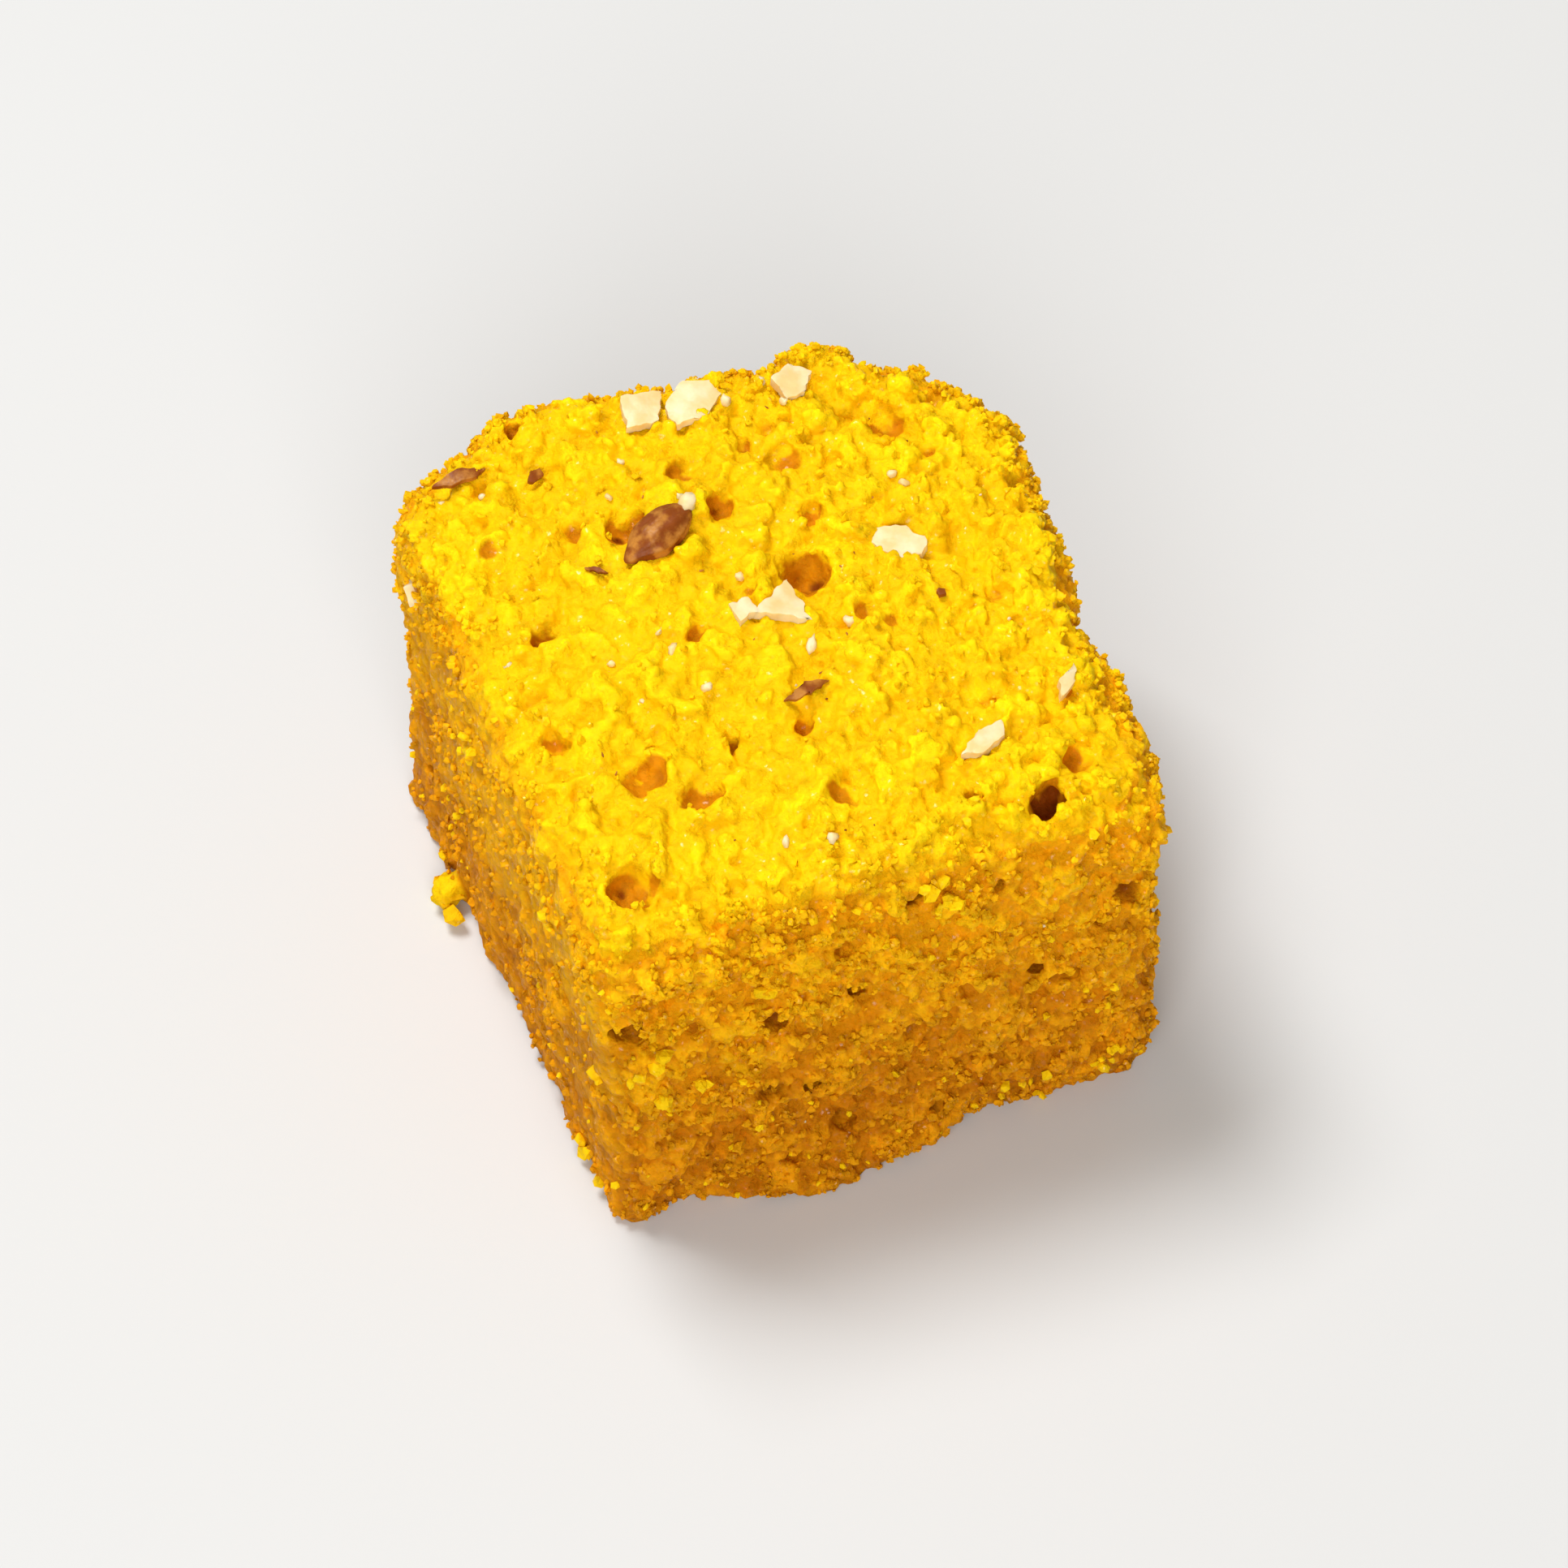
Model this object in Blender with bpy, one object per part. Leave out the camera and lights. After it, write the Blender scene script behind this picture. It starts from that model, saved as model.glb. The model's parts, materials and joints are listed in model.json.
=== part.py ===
"""A hand-cut piece of mysore pak, the set sweet of gram flour, ghee and sugar, with broken almond on top.

Metres, +Z up. +X runs along the cut front face from left to right and +Y goes back.
The origin is in the middle of the base, on the surface that the piece stands on.
"""

import math
import random

import bmesh
import bpy
from mathutils import Matrix, Vector, noise
from mathutils.bvhtree import BVHTree

# Driving dimensions of the cut block
HEIGHT = 0.0339
HALF_WIDTH = 0.0230
HALF_DEPTH = 0.0240
BASE_CORNERS = {
    "front_left": (-0.0197, -0.0258),
    "front_right": (0.0223, -0.0246),
    "back_right": (0.0246, 0.0231),
    "back_left": (-0.0248, 0.0226),
}
TOP_CORNERS = {
    "front_left": (-0.0195, -0.0239),
    "front_right": (0.0245, -0.0244),
    "back_right": (0.0237, 0.0230),
    "back_left": (-0.0226, 0.0242),
}
UPRIGHT_EDGE_RADIUS = {
    "front_left": 0.0030,
    "front_right": 0.0032,
    "back_right": 0.0105,
    "back_left": 0.0054,
}
RIM_RADIUS = 0.0032
FRONT_RIM_RADIUS = 0.0054
CROWN = 0.0026
CROWN_CENTRE = 0.3
BACK_BULGE = 0.0025

# Size of the cage cells, and the relief of the boiled and crumbly surface
CELL = 0.0024
LUMP_SPACING, LUMP_HEIGHT = 0.0075, 0.00065
GRAIN_SPACING, GRAIN_HEIGHT = 0.0036, 0.00045

# The broken lower edge of the front face: how far it stands back at places along X
FRONT_EDGE = (
    (-0.0190, 0.0000), (-0.0145, 0.0014), (-0.0100, -0.0006), (-0.0040, -0.0016), (0.0040, -0.0003),
    (0.0075, 0.0022), (0.0120, 0.0014), (0.0180, 0.0011), (0.0215, 0.0003),
)
FRONT_EDGE_RISE = 0.0055

# Soft swells and dips of the hand-cut form: centre, radius and height outwards
SWELLS = (
    ((-0.0136, 0.0245, 0.0335), 0.0048, 0.0014),
    ((0.0115, 0.0250, 0.0355), 0.0026, 0.0016),
    ((-0.0170, 0.0232, 0.0335), 0.0034, -0.0014),
    ((-0.0035, 0.0255, 0.0345), 0.0034, -0.0002),
    ((0.0045, 0.0265, 0.0345), 0.0034, -0.0012),
    ((0.0165, 0.0235, 0.0335), 0.0034, -0.0012),
    ((0.0198, 0.0185, 0.0330), 0.0022, -0.0014),
    ((0.0222, 0.0140, 0.0335), 0.0026, 0.0010),
    ((0.0235, -0.0060, 0.0325), 0.0045, -0.0007),
    ((0.0240, -0.0225, 0.0255), 0.0040, -0.0008),
    ((0.0050, 0.0035, 0.0364), 0.0050, -0.0012),
    ((0.0000, 0.0130, 0.0364), 0.0060, 0.0006),
    ((-0.0110, -0.0020, 0.0355), 0.0050, 0.0006),
    ((0.0170, 0.0080, 0.0350), 0.0050, 0.0006),
)

# Open bubbles on each face: two places along the face, and the radius of the mouth
TOP_BUBBLES = (
    (0.0006, 0.0108, 0.00095), (-0.0044, -0.0094, 0.00100), (0.0078, -0.0016, 0.00080),
    (0.0095, -0.0030, 0.00070), (0.0003, 0.0030, 0.00065), (0.0009, -0.0092, 0.00065),
    (0.0040, 0.0166, 0.00060), (0.0063, 0.0172, 0.00065), (0.0068, 0.0083, 0.00075),
    (0.0019, -0.0164, 0.00115), (0.0162, -0.0212, 0.00165), (-0.0151, 0.0046, 0.00090),
    (-0.0134, 0.0166, 0.00065), (-0.0045, 0.0001, 0.00070), (-0.0114, -0.0100, 0.00145),
    (-0.0081, -0.0130, 0.00110), (-0.0103, 0.0129, 0.00075), (0.0018, -0.0114, 0.00085),
    (0.0144, -0.0109, 0.00090), (-0.0150, -0.0187, 0.00125), (0.0170, 0.0120, 0.00080),
    (-0.0170, -0.0050, 0.00070), (0.0105, 0.0130, 0.00070), (0.0180, -0.0020, 0.00070),
)
FRONT_BUBBLES = (
    (-0.0169, 0.0230, 0.00120), (-0.0062, 0.0196, 0.00080), (0.0040, 0.0144, 0.00080),
    (0.0085, 0.0181, 0.00085), (-0.0031, 0.0094, 0.00065), (-0.0069, 0.0121, 0.00075),
    (0.0048, 0.0300, 0.00085), (0.0044, 0.0096, 0.00070), (-0.0117, 0.0283, 0.00060),
    (0.0136, 0.0177, 0.00055),
)
LEFT_BUBBLES = (
    (-0.0120, 0.0220, 0.00065), (0.0060, 0.0160, 0.00070), (0.0150, 0.0080, 0.00060),
)
RIGHT_BUBBLES = (
    (-0.0140, 0.0240, 0.00080), (-0.0020, 0.0130, 0.00075), (0.0090, 0.0210, 0.00065),
    (0.0050, 0.0070, 0.00060),
)
BACK_BUBBLES = (
    (-0.0110, 0.0180, 0.00080), (0.0020, 0.0110, 0.00065), (0.0090, 0.0240, 0.00085),
    (-0.0030, 0.0270, 0.00060),
)
MOUTH_DEPTH = 0.45

# Broken almond flakes on the top: place, length, width, corners, turn and tilt in degrees
FLAKE_THICKNESS = 0.0014
FLAKES = (
    ("square flake", -0.0027, 0.0209, 0.0044, 0.0036, 4, 38, 8),
    ("long flake", 0.0013, 0.0208, 0.0056, 0.0036, 6, 22, 6),
    ("white chip", 0.0024, 0.0005, 0.0050, 0.0044, 3, 98, 8),
    ("small chip", -0.0007, 0.0006, 0.0026, 0.0021, 4, 60, 6),
    ("back chip", 0.0090, 0.0207, 0.0042, 0.0030, 5, 70, 8),
    ("pale flake", 0.0125, 0.0042, 0.0054, 0.0032, 6, -35, 2),
    ("edge flake", 0.0129, -0.0152, 0.0044, 0.0020, 5, 30, 4),
    ("left shard", -0.0222, 0.0160, 0.0030, 0.0016, 3, 75, 60),
    ("right sliver", 0.0200, -0.0118, 0.0034, 0.0009, 4, 55, 12),
    ("skin strip", -0.0169, 0.0207, 0.0046, 0.0011, 5, 6, 10),
    ("skin sliver", 0.0017, -0.0074, 0.0040, 0.0010, 4, 14, 18),
)
FLAKE_SHOW = 0.00075
SIDE_FLAKE_FROM, SIDE_FLAKE_HEIGHT = 0.0218, 0.0292
NUB_PLACE, NUB_SIZE, NUB_TURN = (-0.0048, 0.0093), (0.0032, 0.0016, 0.0013), 27

# Crumbs stuck along the edges and on the faces
CRUMB_SEED = 7
RIM_CRUMBS, UPRIGHT_CRUMBS, BASE_CRUMBS, TOP_CRUMBS, FACE_CRUMBS = 24, 16, 22, 16, 10
CRUMB_RADIUS = (0.00065, 0.00125)
FALLEN_CRUMB, FALLEN_CRUMB_RADIUS = (-0.0242, 0.0084), 0.0014
CRUMB_SINK = 0.35
UPRIGHT_SCATTER = 0.003
BASE_CLEARANCE = 0.0001

# A distance well outside the piece, and the width of a gap that is welded shut
FAR = 0.1
WELD = 0.00002

SWEET_COLOUR = (0.80, 0.47, 0.012, 1.0)


def smooth_step(edge_low, edge_high, value):
    """Rise smoothly from 0 at edge_low to 1 at edge_high."""
    share = min(max((value - edge_low) / (edge_high - edge_low), 0.0), 1.0)
    return share * share * (3.0 - 2.0 * share)


def interpolate(stations, place):
    """Read a value between the stations, each a place and its value."""
    if place <= stations[0][0]:
        return stations[0][1]
    for (low, value_low), (high, value_high) in zip(stations, stations[1:]):
        if place <= high:
            return value_low + (value_high - value_low) * smooth_step(low, high, place)
    return stations[-1][1]


def round_corner(across, along, radius):
    """Pull a point of a square corner onto the arc of the radius, both counted from the arc's centre."""
    if across <= 0.0 or along <= 0.0:
        return across, along
    scale = min(max(across, along), radius) / math.hypot(across, along)
    return across * scale, along * scale


def corner_name(x, y):
    """Name the upright edge that a point is nearest to."""
    return ("front_" if y < 0.0 else "back_") + ("left" if x < 0.0 else "right")


def cut_form(cage_point):
    """Turn a point of the cage, from -1 to 1 across and 0 to 1 up, into its place on the cut block."""
    x = cage_point.x * HALF_WIDTH
    y = cage_point.y * HALF_DEPTH
    z = cage_point.z * HEIGHT
    inset = min(HALF_WIDTH - abs(x), HALF_DEPTH - abs(y))

    radius = UPRIGHT_EDGE_RADIUS[corner_name(x, y)]
    across, along = round_corner(abs(x) - HALF_WIDTH + radius, abs(y) - HALF_DEPTH + radius, radius)
    x = math.copysign(HALF_WIDTH - radius + across, x)
    y = math.copysign(HALF_DEPTH - radius + along, y)

    rim = RIM_RADIUS + (FRONT_RIM_RADIUS - RIM_RADIUS) * smooth_step(0.5, 1.0, -y / HALF_DEPTH)
    outwards, upwards = rim - inset, z - HEIGHT + rim
    if outwards > 0.0 and upwards > 0.0:
        rounded, upwards = round_corner(outwards, upwards, rim)
        x *= 1.0 - (outwards - rounded) / HALF_WIDTH
        y *= 1.0 - (outwards - rounded) / HALF_DEPTH
        z = HEIGHT - rim + upwards

    across, along, up = x / HALF_WIDTH, y / HALF_DEPTH, z / HEIGHT
    place = Vector((0.0, 0.0, z))
    for name, base in BASE_CORNERS.items():
        top = TOP_CORNERS[name]
        across_share = 1.0 + math.copysign(1.0, base[0]) * across
        along_share = 1.0 + math.copysign(1.0, base[1]) * along
        weight = across_share * along_share / 4.0
        place.x += weight * (base[0] * (1.0 - up) + top[0] * up)
        place.y += weight * (base[1] * (1.0 - up) + top[1] * up)

    crown_along = (along - CROWN_CENTRE) / (1.0 + CROWN_CENTRE)
    place.z += CROWN * (1.0 - across ** 2) * (1.0 - crown_along ** 2) * up ** 3
    place.y += BACK_BULGE * (1.0 - across ** 2) * max(along, 0.0) ** 2 * up
    if along < 0.0:
        fade = (1.0 - smooth_step(0.0, FRONT_EDGE_RISE, z)) * smooth_step(-0.7, -1.0, along)
        place.y += interpolate(FRONT_EDGE, place.x) * fade
    return place


def relief(place):
    """Give the height of the lumps, grains, swells and dips at a place on the surface."""
    height = LUMP_HEIGHT * noise.noise(place / LUMP_SPACING)
    height += GRAIN_HEIGHT * noise.noise(place / GRAIN_SPACING)
    for centre, radius, swell in SWELLS:
        distance = (place - Vector(centre)).length / radius
        height += swell * math.exp(-distance * distance)
    return height


def new_object(name, mesh_builder, collection):
    """Make a named object of a bmesh in a collection, and free the bmesh."""
    mesh = bpy.data.meshes.new(name)
    mesh_builder.to_mesh(mesh)
    mesh_builder.free()
    thing = bpy.data.objects.new(name, mesh)
    collection.objects.link(thing)
    return thing


def new_collection(name):
    """Make a collection in the scene."""
    collection = bpy.data.collections.new(name)
    bpy.context.scene.collection.children.link(collection)
    return collection


def cage():
    """Make a cube cage, -1 to 1 across and 0 to 1 up, with cells of about one real size all over."""
    builder = bmesh.new()
    bmesh.ops.create_cube(builder, size=2.0)
    bmesh.ops.scale(builder, vec=(1.0, 1.0, 0.5), verts=builder.verts)
    bmesh.ops.translate(builder, vec=(0.0, 0.0, 0.5), verts=builder.verts)
    for axis, length in enumerate((2.0 * HALF_WIDTH, 2.0 * HALF_DEPTH, HEIGHT)):
        edges = [edge for edge in builder.edges if abs((edge.verts[0].co - edge.verts[1].co)[axis]) > 0.5]
        bmesh.ops.subdivide_edges(builder, edges=edges, cuts=round(length / CELL) - 1, use_grid_fill=True)
    return builder


def make_block(collection):
    """Make the cut block with its rounded rim, crowned top and lumpy skin, on a flat base."""
    builder = cage()
    for vert in builder.verts:
        vert.co = cut_form(vert.co)
    builder.normal_update()
    moves = [(vert, vert.normal.copy()) for vert in builder.verts]
    for vert, normal in moves:
        if vert.co.z < BASE_CLEARANCE:
            inside = all(face.normal.z < -0.9 for face in vert.link_faces)
            normal = Vector((0.0, 0.0, 0.0)) if inside else Vector((normal.x, normal.y, 0.0)).normalized()
        vert.co += relief(vert.co) * normal
    base = [face for face in builder.faces if all(vert.co.z < BASE_CLEARANCE for vert in face.verts)]
    bmesh.ops.dissolve_faces(builder, faces=base, use_verts=True)
    bmesh.ops.triangulate(builder, faces=builder.faces)
    return new_object("mysore_pak", builder, collection)


def surface_tree(thing):
    """Make a search tree of an object's surface."""
    places = [vert.co for vert in thing.data.vertices]
    return BVHTree.FromPolygons(places, [face.vertices for face in thing.data.polygons])


def meet(tree, start, direction):
    """Find where a ray from outside meets the surface, with the surface's normal there."""
    place, normal, _, _ = tree.ray_cast(Vector(start), Vector(direction))
    return place, normal


def bubble_places(tree):
    """Find each open bubble on its face, with the radius of its mouth."""
    rays = (
        (TOP_BUBBLES, lambda u, v: (u, v, FAR), (0.0, 0.0, -1.0)),
        (FRONT_BUBBLES, lambda u, v: (u, -FAR, v), (0.0, 1.0, 0.0)),
        (BACK_BUBBLES, lambda u, v: (u, FAR, v), (0.0, -1.0, 0.0)),
        (LEFT_BUBBLES, lambda u, v: (-FAR, u, v), (1.0, 0.0, 0.0)),
        (RIGHT_BUBBLES, lambda u, v: (FAR, u, v), (-1.0, 0.0, 0.0)),
    )
    for bubbles, start, direction in rays:
        for u, v, radius in bubbles:
            place, normal = meet(tree, start(u, v), direction)
            yield place, normal, radius


def make_lump(name, collection, place, turning, size, subdivisions=1):
    """Make a round lump, stretched to its three half sizes and turned, at its place."""
    builder = bmesh.new()
    bmesh.ops.create_icosphere(builder, subdivisions=subdivisions, radius=1.0)
    matrix = Matrix.Translation(place) @ turning @ Matrix.Diagonal((*size, 1.0))
    bmesh.ops.transform(builder, matrix=matrix, verts=builder.verts)
    return new_object(name, builder, collection)


def random_turn(dice):
    """Make a turn about a random axis."""
    axis = Vector((dice.uniform(-1.0, 1.0), dice.uniform(-1.0, 1.0), dice.uniform(0.1, 1.0)))
    return Matrix.Rotation(dice.uniform(0.0, math.pi), 4, axis.normalized())


def make_bubbles(tree, collection):
    """Make the round cutters of the open bubbles, each a little out of round."""
    dice = random.Random(CRUMB_SEED)
    for place, normal, mouth in bubble_places(tree):
        radius = mouth / math.sqrt(1.0 - MOUTH_DEPTH ** 2)
        size = [radius * dice.uniform(0.88, 1.12) for _ in range(3)]
        centre = place - normal * radius * MOUTH_DEPTH
        make_lump("bubble", collection, centre, random_turn(dice), size, subdivisions=2)


def make_flake(row, tree, collection):
    """Make a thin broken flake, tilted and half sunk in the top."""
    name, x, y, length, width, corners, turn, tilt = row
    dice = random.Random(name)
    start, direction = (x, y, FAR), (0.0, 0.0, -1.0)
    if abs(x) > SIDE_FLAKE_FROM:
        start, direction = (math.copysign(FAR, x), y, SIDE_FLAKE_HEIGHT), (-math.copysign(1.0, x), 0.0, 0.0)
    place, normal = meet(tree, start, direction)
    builder = bmesh.new()
    bmesh.ops.create_circle(builder, cap_ends=True, segments=corners, radius=0.5)
    for vert in builder.verts:
        vert.co *= dice.uniform(0.86, 1.14)
    grown = bmesh.ops.extrude_face_region(builder, geom=builder.faces[:])
    upper = [item for item in grown["geom"] if isinstance(item, bmesh.types.BMVert)]
    bmesh.ops.translate(builder, vec=(0.0, 0.0, 1.0), verts=upper)
    bmesh.ops.translate(builder, vec=(0.0, 0.0, -0.5), verts=builder.verts)
    bmesh.ops.recalc_face_normals(builder, faces=builder.faces)
    turning = Matrix.Rotation(math.radians(turn), 4, "Z") @ Matrix.Rotation(math.radians(tilt), 4, "X")
    size = Matrix.Diagonal((length, width, FLAKE_THICKNESS, 1.0))
    centre = place + normal * (FLAKE_SHOW - FLAKE_THICKNESS / 2.0)
    bmesh.ops.transform(builder, matrix=Matrix.Translation(centre) @ turning @ size, verts=builder.verts)
    new_object(name, builder, collection)


def make_crumb(dice, tree, start, direction, collection):
    """Stick a crumb where a ray meets the surface, clear of the surface that the piece stands on."""
    place, normal = meet(tree, start, direction)
    if place is None:
        return
    radius = dice.uniform(*CRUMB_RADIUS)
    size = [radius * dice.uniform(0.8, 1.2) for _ in range(3)]
    centre = place - normal * radius * CRUMB_SINK
    centre.z = max(centre.z, max(size) + BASE_CLEARANCE)
    make_lump("crumb", collection, centre, random_turn(dice), size)


def make_crumbs(tree, collection):
    """Scatter the crumbs: along the rim, the upright edges and the base, and over the top and the faces."""
    dice = random.Random(CRUMB_SEED + 1)
    bands = ((RIM_CRUMBS, 0.93, 0.99), (BASE_CRUMBS, 0.02, 0.05), (FACE_CRUMBS, 0.12, 0.85))
    for count, low, high in bands:
        for step in range(count):
            angle = math.tau * (step + dice.uniform(-0.4, 0.4)) / count
            outwards = Vector((math.cos(angle), math.sin(angle), 0.0))
            start = outwards * FAR + Vector((0.0, 0.0, dice.uniform(low, high) * HEIGHT))
            make_crumb(dice, tree, start, -outwards, collection)
    for step in range(UPRIGHT_CRUMBS):
        corner_x, corner_y = list(BASE_CORNERS.values())[step % len(BASE_CORNERS)]
        aside = [dice.uniform(-UPRIGHT_SCATTER, UPRIGHT_SCATTER) for _ in range(2)]
        outwards = Vector((corner_x + aside[0], corner_y + aside[1], 0.0)).normalized()
        start = outwards * FAR + Vector((0.0, 0.0, dice.uniform(0.1, 0.9) * HEIGHT))
        make_crumb(dice, tree, start, -outwards, collection)
    for _ in range(TOP_CRUMBS):
        start = (dice.uniform(-0.85, 0.85) * HALF_WIDTH, dice.uniform(-0.85, 0.85) * HALF_DEPTH, FAR)
        make_crumb(dice, tree, start, (0.0, 0.0, -1.0), collection)


def combine(thing, collection, operation):
    """Cut an object by a collection, or join the collection to it, and remove the collection's objects."""
    boolean = thing.modifiers.new(operation.lower(), "BOOLEAN")
    boolean.operation = operation
    boolean.operand_type = "COLLECTION"
    boolean.collection = collection
    boolean.solver = "EXACT"
    depsgraph = bpy.context.evaluated_depsgraph_get()
    mesh = bpy.data.meshes.new_from_object(thing.evaluated_get(depsgraph))
    thing.modifiers.clear()
    thing.data = mesh
    for other in list(collection.objects):
        bpy.data.objects.remove(other, do_unlink=True)
    bpy.data.collections.remove(collection)


def keep_main_body(builder):
    """Drop loose scraps, and fill sealed hollows by dropping their walls."""
    left = set(builder.faces)
    bodies = []
    while left:
        body, front = set(), [left.pop()]
        while front:
            face = front.pop()
            body.add(face)
            near = {other for edge in face.edges for other in edge.link_faces}
            front += near & left
            left -= near
        bodies.append(body)
    main = max(bodies, key=len)
    scraps = [face for body in bodies if body is not main for face in body]
    bmesh.ops.delete(builder, geom=scraps, context="FACES")


def finish_block(thing):
    """Clean the joined mesh, and put the middle of its base at the origin."""
    builder = bmesh.new()
    builder.from_mesh(thing.data)
    keep_main_body(builder)
    bmesh.ops.remove_doubles(builder, verts=builder.verts, dist=WELD)
    bmesh.ops.dissolve_degenerate(builder, edges=builder.edges, dist=WELD)
    bmesh.ops.triangulate(builder, faces=builder.faces)
    low = Vector([min(vert.co[axis] for vert in builder.verts) for axis in range(3)])
    high = Vector([max(vert.co[axis] for vert in builder.verts) for axis in range(3)])
    middle = Vector(((low.x + high.x) / 2.0, (low.y + high.y) / 2.0, low.z))
    bmesh.ops.translate(builder, vec=-middle, verts=builder.verts)
    builder.to_mesh(thing.data)
    builder.free()


def sweet_material():
    """Make the plain yellow of the sweet."""
    material = bpy.data.materials.new("gram_flour_sweet")
    material.use_nodes = True
    shader = material.node_tree.nodes["Principled BSDF"]
    shader.inputs["Base Color"].default_value = SWEET_COLOUR
    shader.inputs["Roughness"].default_value = 0.72
    shader.inputs["Metallic"].default_value = 0.0
    return material


def main():
    """Build the piece."""
    for thing in list(bpy.data.objects):
        bpy.data.objects.remove(thing, do_unlink=True)
    block = make_block(new_collection("mysore_pak_piece"))
    tree = surface_tree(block)

    cutters = new_collection("open_bubbles")
    make_bubbles(tree, cutters)
    combine(block, cutters, "DIFFERENCE")

    grains = new_collection("crumbs_and_flakes")
    make_crumbs(tree, grains)
    for row in FLAKES:
        make_flake(row, tree, grains)
    nub_place, _ = meet(tree, (*NUB_PLACE, FAR), (0.0, 0.0, -1.0))
    nub_turning = Matrix.Rotation(math.radians(NUB_TURN), 4, "Z")
    make_lump("almond_nub", grains, nub_place, nub_turning, NUB_SIZE, subdivisions=2)
    fallen = Vector((*FALLEN_CRUMB, FALLEN_CRUMB_RADIUS + BASE_CLEARANCE))
    make_lump("fallen_crumb", grains, fallen, Matrix.Identity(4), [FALLEN_CRUMB_RADIUS] * 3, subdivisions=2)
    combine(block, grains, "UNION")

    finish_block(block)
    block.data.materials.clear()
    block.data.materials.append(sweet_material())


main()
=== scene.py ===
"""Dresses a hand-cut piece of mysore pak: the crumbly block, its loose crumb and the broken almond on top.

Metres, +Z up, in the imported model's frame: the middle of the base is the origin and the front face is at -Y.
"""

import json
import logging
import math
import random
from dataclasses import dataclass, field
from enum import Enum
from typing import Callable, Iterator, Sequence

import bmesh
import bpy
import numpy as np
from mathutils import Matrix, Vector, noise
from mathutils.bvhtree import BVHTree
from mathutils.kdtree import KDTree

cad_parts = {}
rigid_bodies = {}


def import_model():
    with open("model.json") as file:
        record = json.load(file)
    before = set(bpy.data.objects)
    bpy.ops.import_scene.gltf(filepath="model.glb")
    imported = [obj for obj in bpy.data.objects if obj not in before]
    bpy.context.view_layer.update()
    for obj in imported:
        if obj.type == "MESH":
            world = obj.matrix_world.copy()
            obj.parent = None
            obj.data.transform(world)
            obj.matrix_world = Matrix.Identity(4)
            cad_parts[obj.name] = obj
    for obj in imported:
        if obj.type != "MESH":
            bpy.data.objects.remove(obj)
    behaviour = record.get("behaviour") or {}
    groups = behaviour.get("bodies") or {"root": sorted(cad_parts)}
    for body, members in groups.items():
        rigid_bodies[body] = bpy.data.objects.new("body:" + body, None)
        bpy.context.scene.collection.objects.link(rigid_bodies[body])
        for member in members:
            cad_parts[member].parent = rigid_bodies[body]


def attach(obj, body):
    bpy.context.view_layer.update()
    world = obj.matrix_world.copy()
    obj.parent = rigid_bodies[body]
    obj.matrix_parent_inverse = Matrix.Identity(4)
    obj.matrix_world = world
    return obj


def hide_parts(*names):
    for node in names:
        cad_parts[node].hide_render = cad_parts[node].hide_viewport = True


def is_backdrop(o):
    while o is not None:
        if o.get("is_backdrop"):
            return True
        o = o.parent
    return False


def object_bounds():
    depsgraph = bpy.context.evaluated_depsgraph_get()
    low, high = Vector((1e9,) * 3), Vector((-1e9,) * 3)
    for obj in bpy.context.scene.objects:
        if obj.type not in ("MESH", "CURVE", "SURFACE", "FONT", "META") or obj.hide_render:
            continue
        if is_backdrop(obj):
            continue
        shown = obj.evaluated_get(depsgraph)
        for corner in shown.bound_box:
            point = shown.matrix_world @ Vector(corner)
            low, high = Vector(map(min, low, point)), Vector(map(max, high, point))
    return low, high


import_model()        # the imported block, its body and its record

CAD_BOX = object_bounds()
NODE = "mysore_pak"
DRIFT_SEED = 11    # noise.noise_vector takes its offsets from this, and from the clock without it
MM = 0.001
FAR = 0.1          # how far outside the block a ray starts
TOP_SLOPE = (0.32, 0.88)     # the normal's Z where the sides' look ends and where the top's is full
ABOVE = 0.0025     # how far above a coarse surface a search for the finer one starts
STANDING = 0.6     # the normal's Z below which a face stands upright
LYING = 0.8        # the normal's Z from which a face lies level
FLAT = 0.93        # the normal's Z from which a face belongs to the flat of the top
NOISE_REACH = 50.0 # how far apart in the noise two kinds of grain may be taken
TREAD = ((0.0, 0.0), (1.0, 0.0), (-1.0, 0.0), (0.0, 1.0), (0.0, -1.0))     # the spots that a flake rests on

Colour = tuple[float, float, float, float]
Shape = tuple[np.ndarray, np.ndarray]
Socket = bpy.types.NodeSocket
Span = tuple[float, float]
Spot = tuple[float, float, float]

log = logging.getLogger("mysore_pak")


class Slot(Enum):
    """The record's material slots."""

    SWEET = "gram_flour_sweet"
    ALMOND = "almond"
    SKIN = "almond_skin"


class Side(Enum):
    """A face of the block, by the direction in which a ray from outside meets it."""

    TOP = (0.0, 0.0, -1.0)
    FRONT = (0.0, 1.0, 0.0)
    BACK = (0.0, -1.0, 0.0)
    LEFT = (1.0, 0.0, 0.0)
    RIGHT = (-1.0, 0.0, 0.0)

    def start(self, first: float, second: float) -> Vector:
        """Give the start of the ray that meets this face at two places along it.

        Args:
            first: the place along X, or along Y on the left and right faces.
            second: the place along Y on the top, and the height on the others.

        Returns:
            A point well outside the block.
        """
        if self is Side.TOP:
            return Vector((first, second, FAR))
        away = -FAR * Vector(self.value)
        if self in (Side.FRONT, Side.BACK):
            return Vector((first, away.y, second))
        return Vector((away.x, first, second))


def smooth_step(low: float, high: float, value: float) -> float:
    """Rise smoothly from 0 at low to 1 at high."""
    share = min(max((value - low) / (high - low), 0.0), 1.0)
    return share * share * (3.0 - 2.0 * share)


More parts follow.
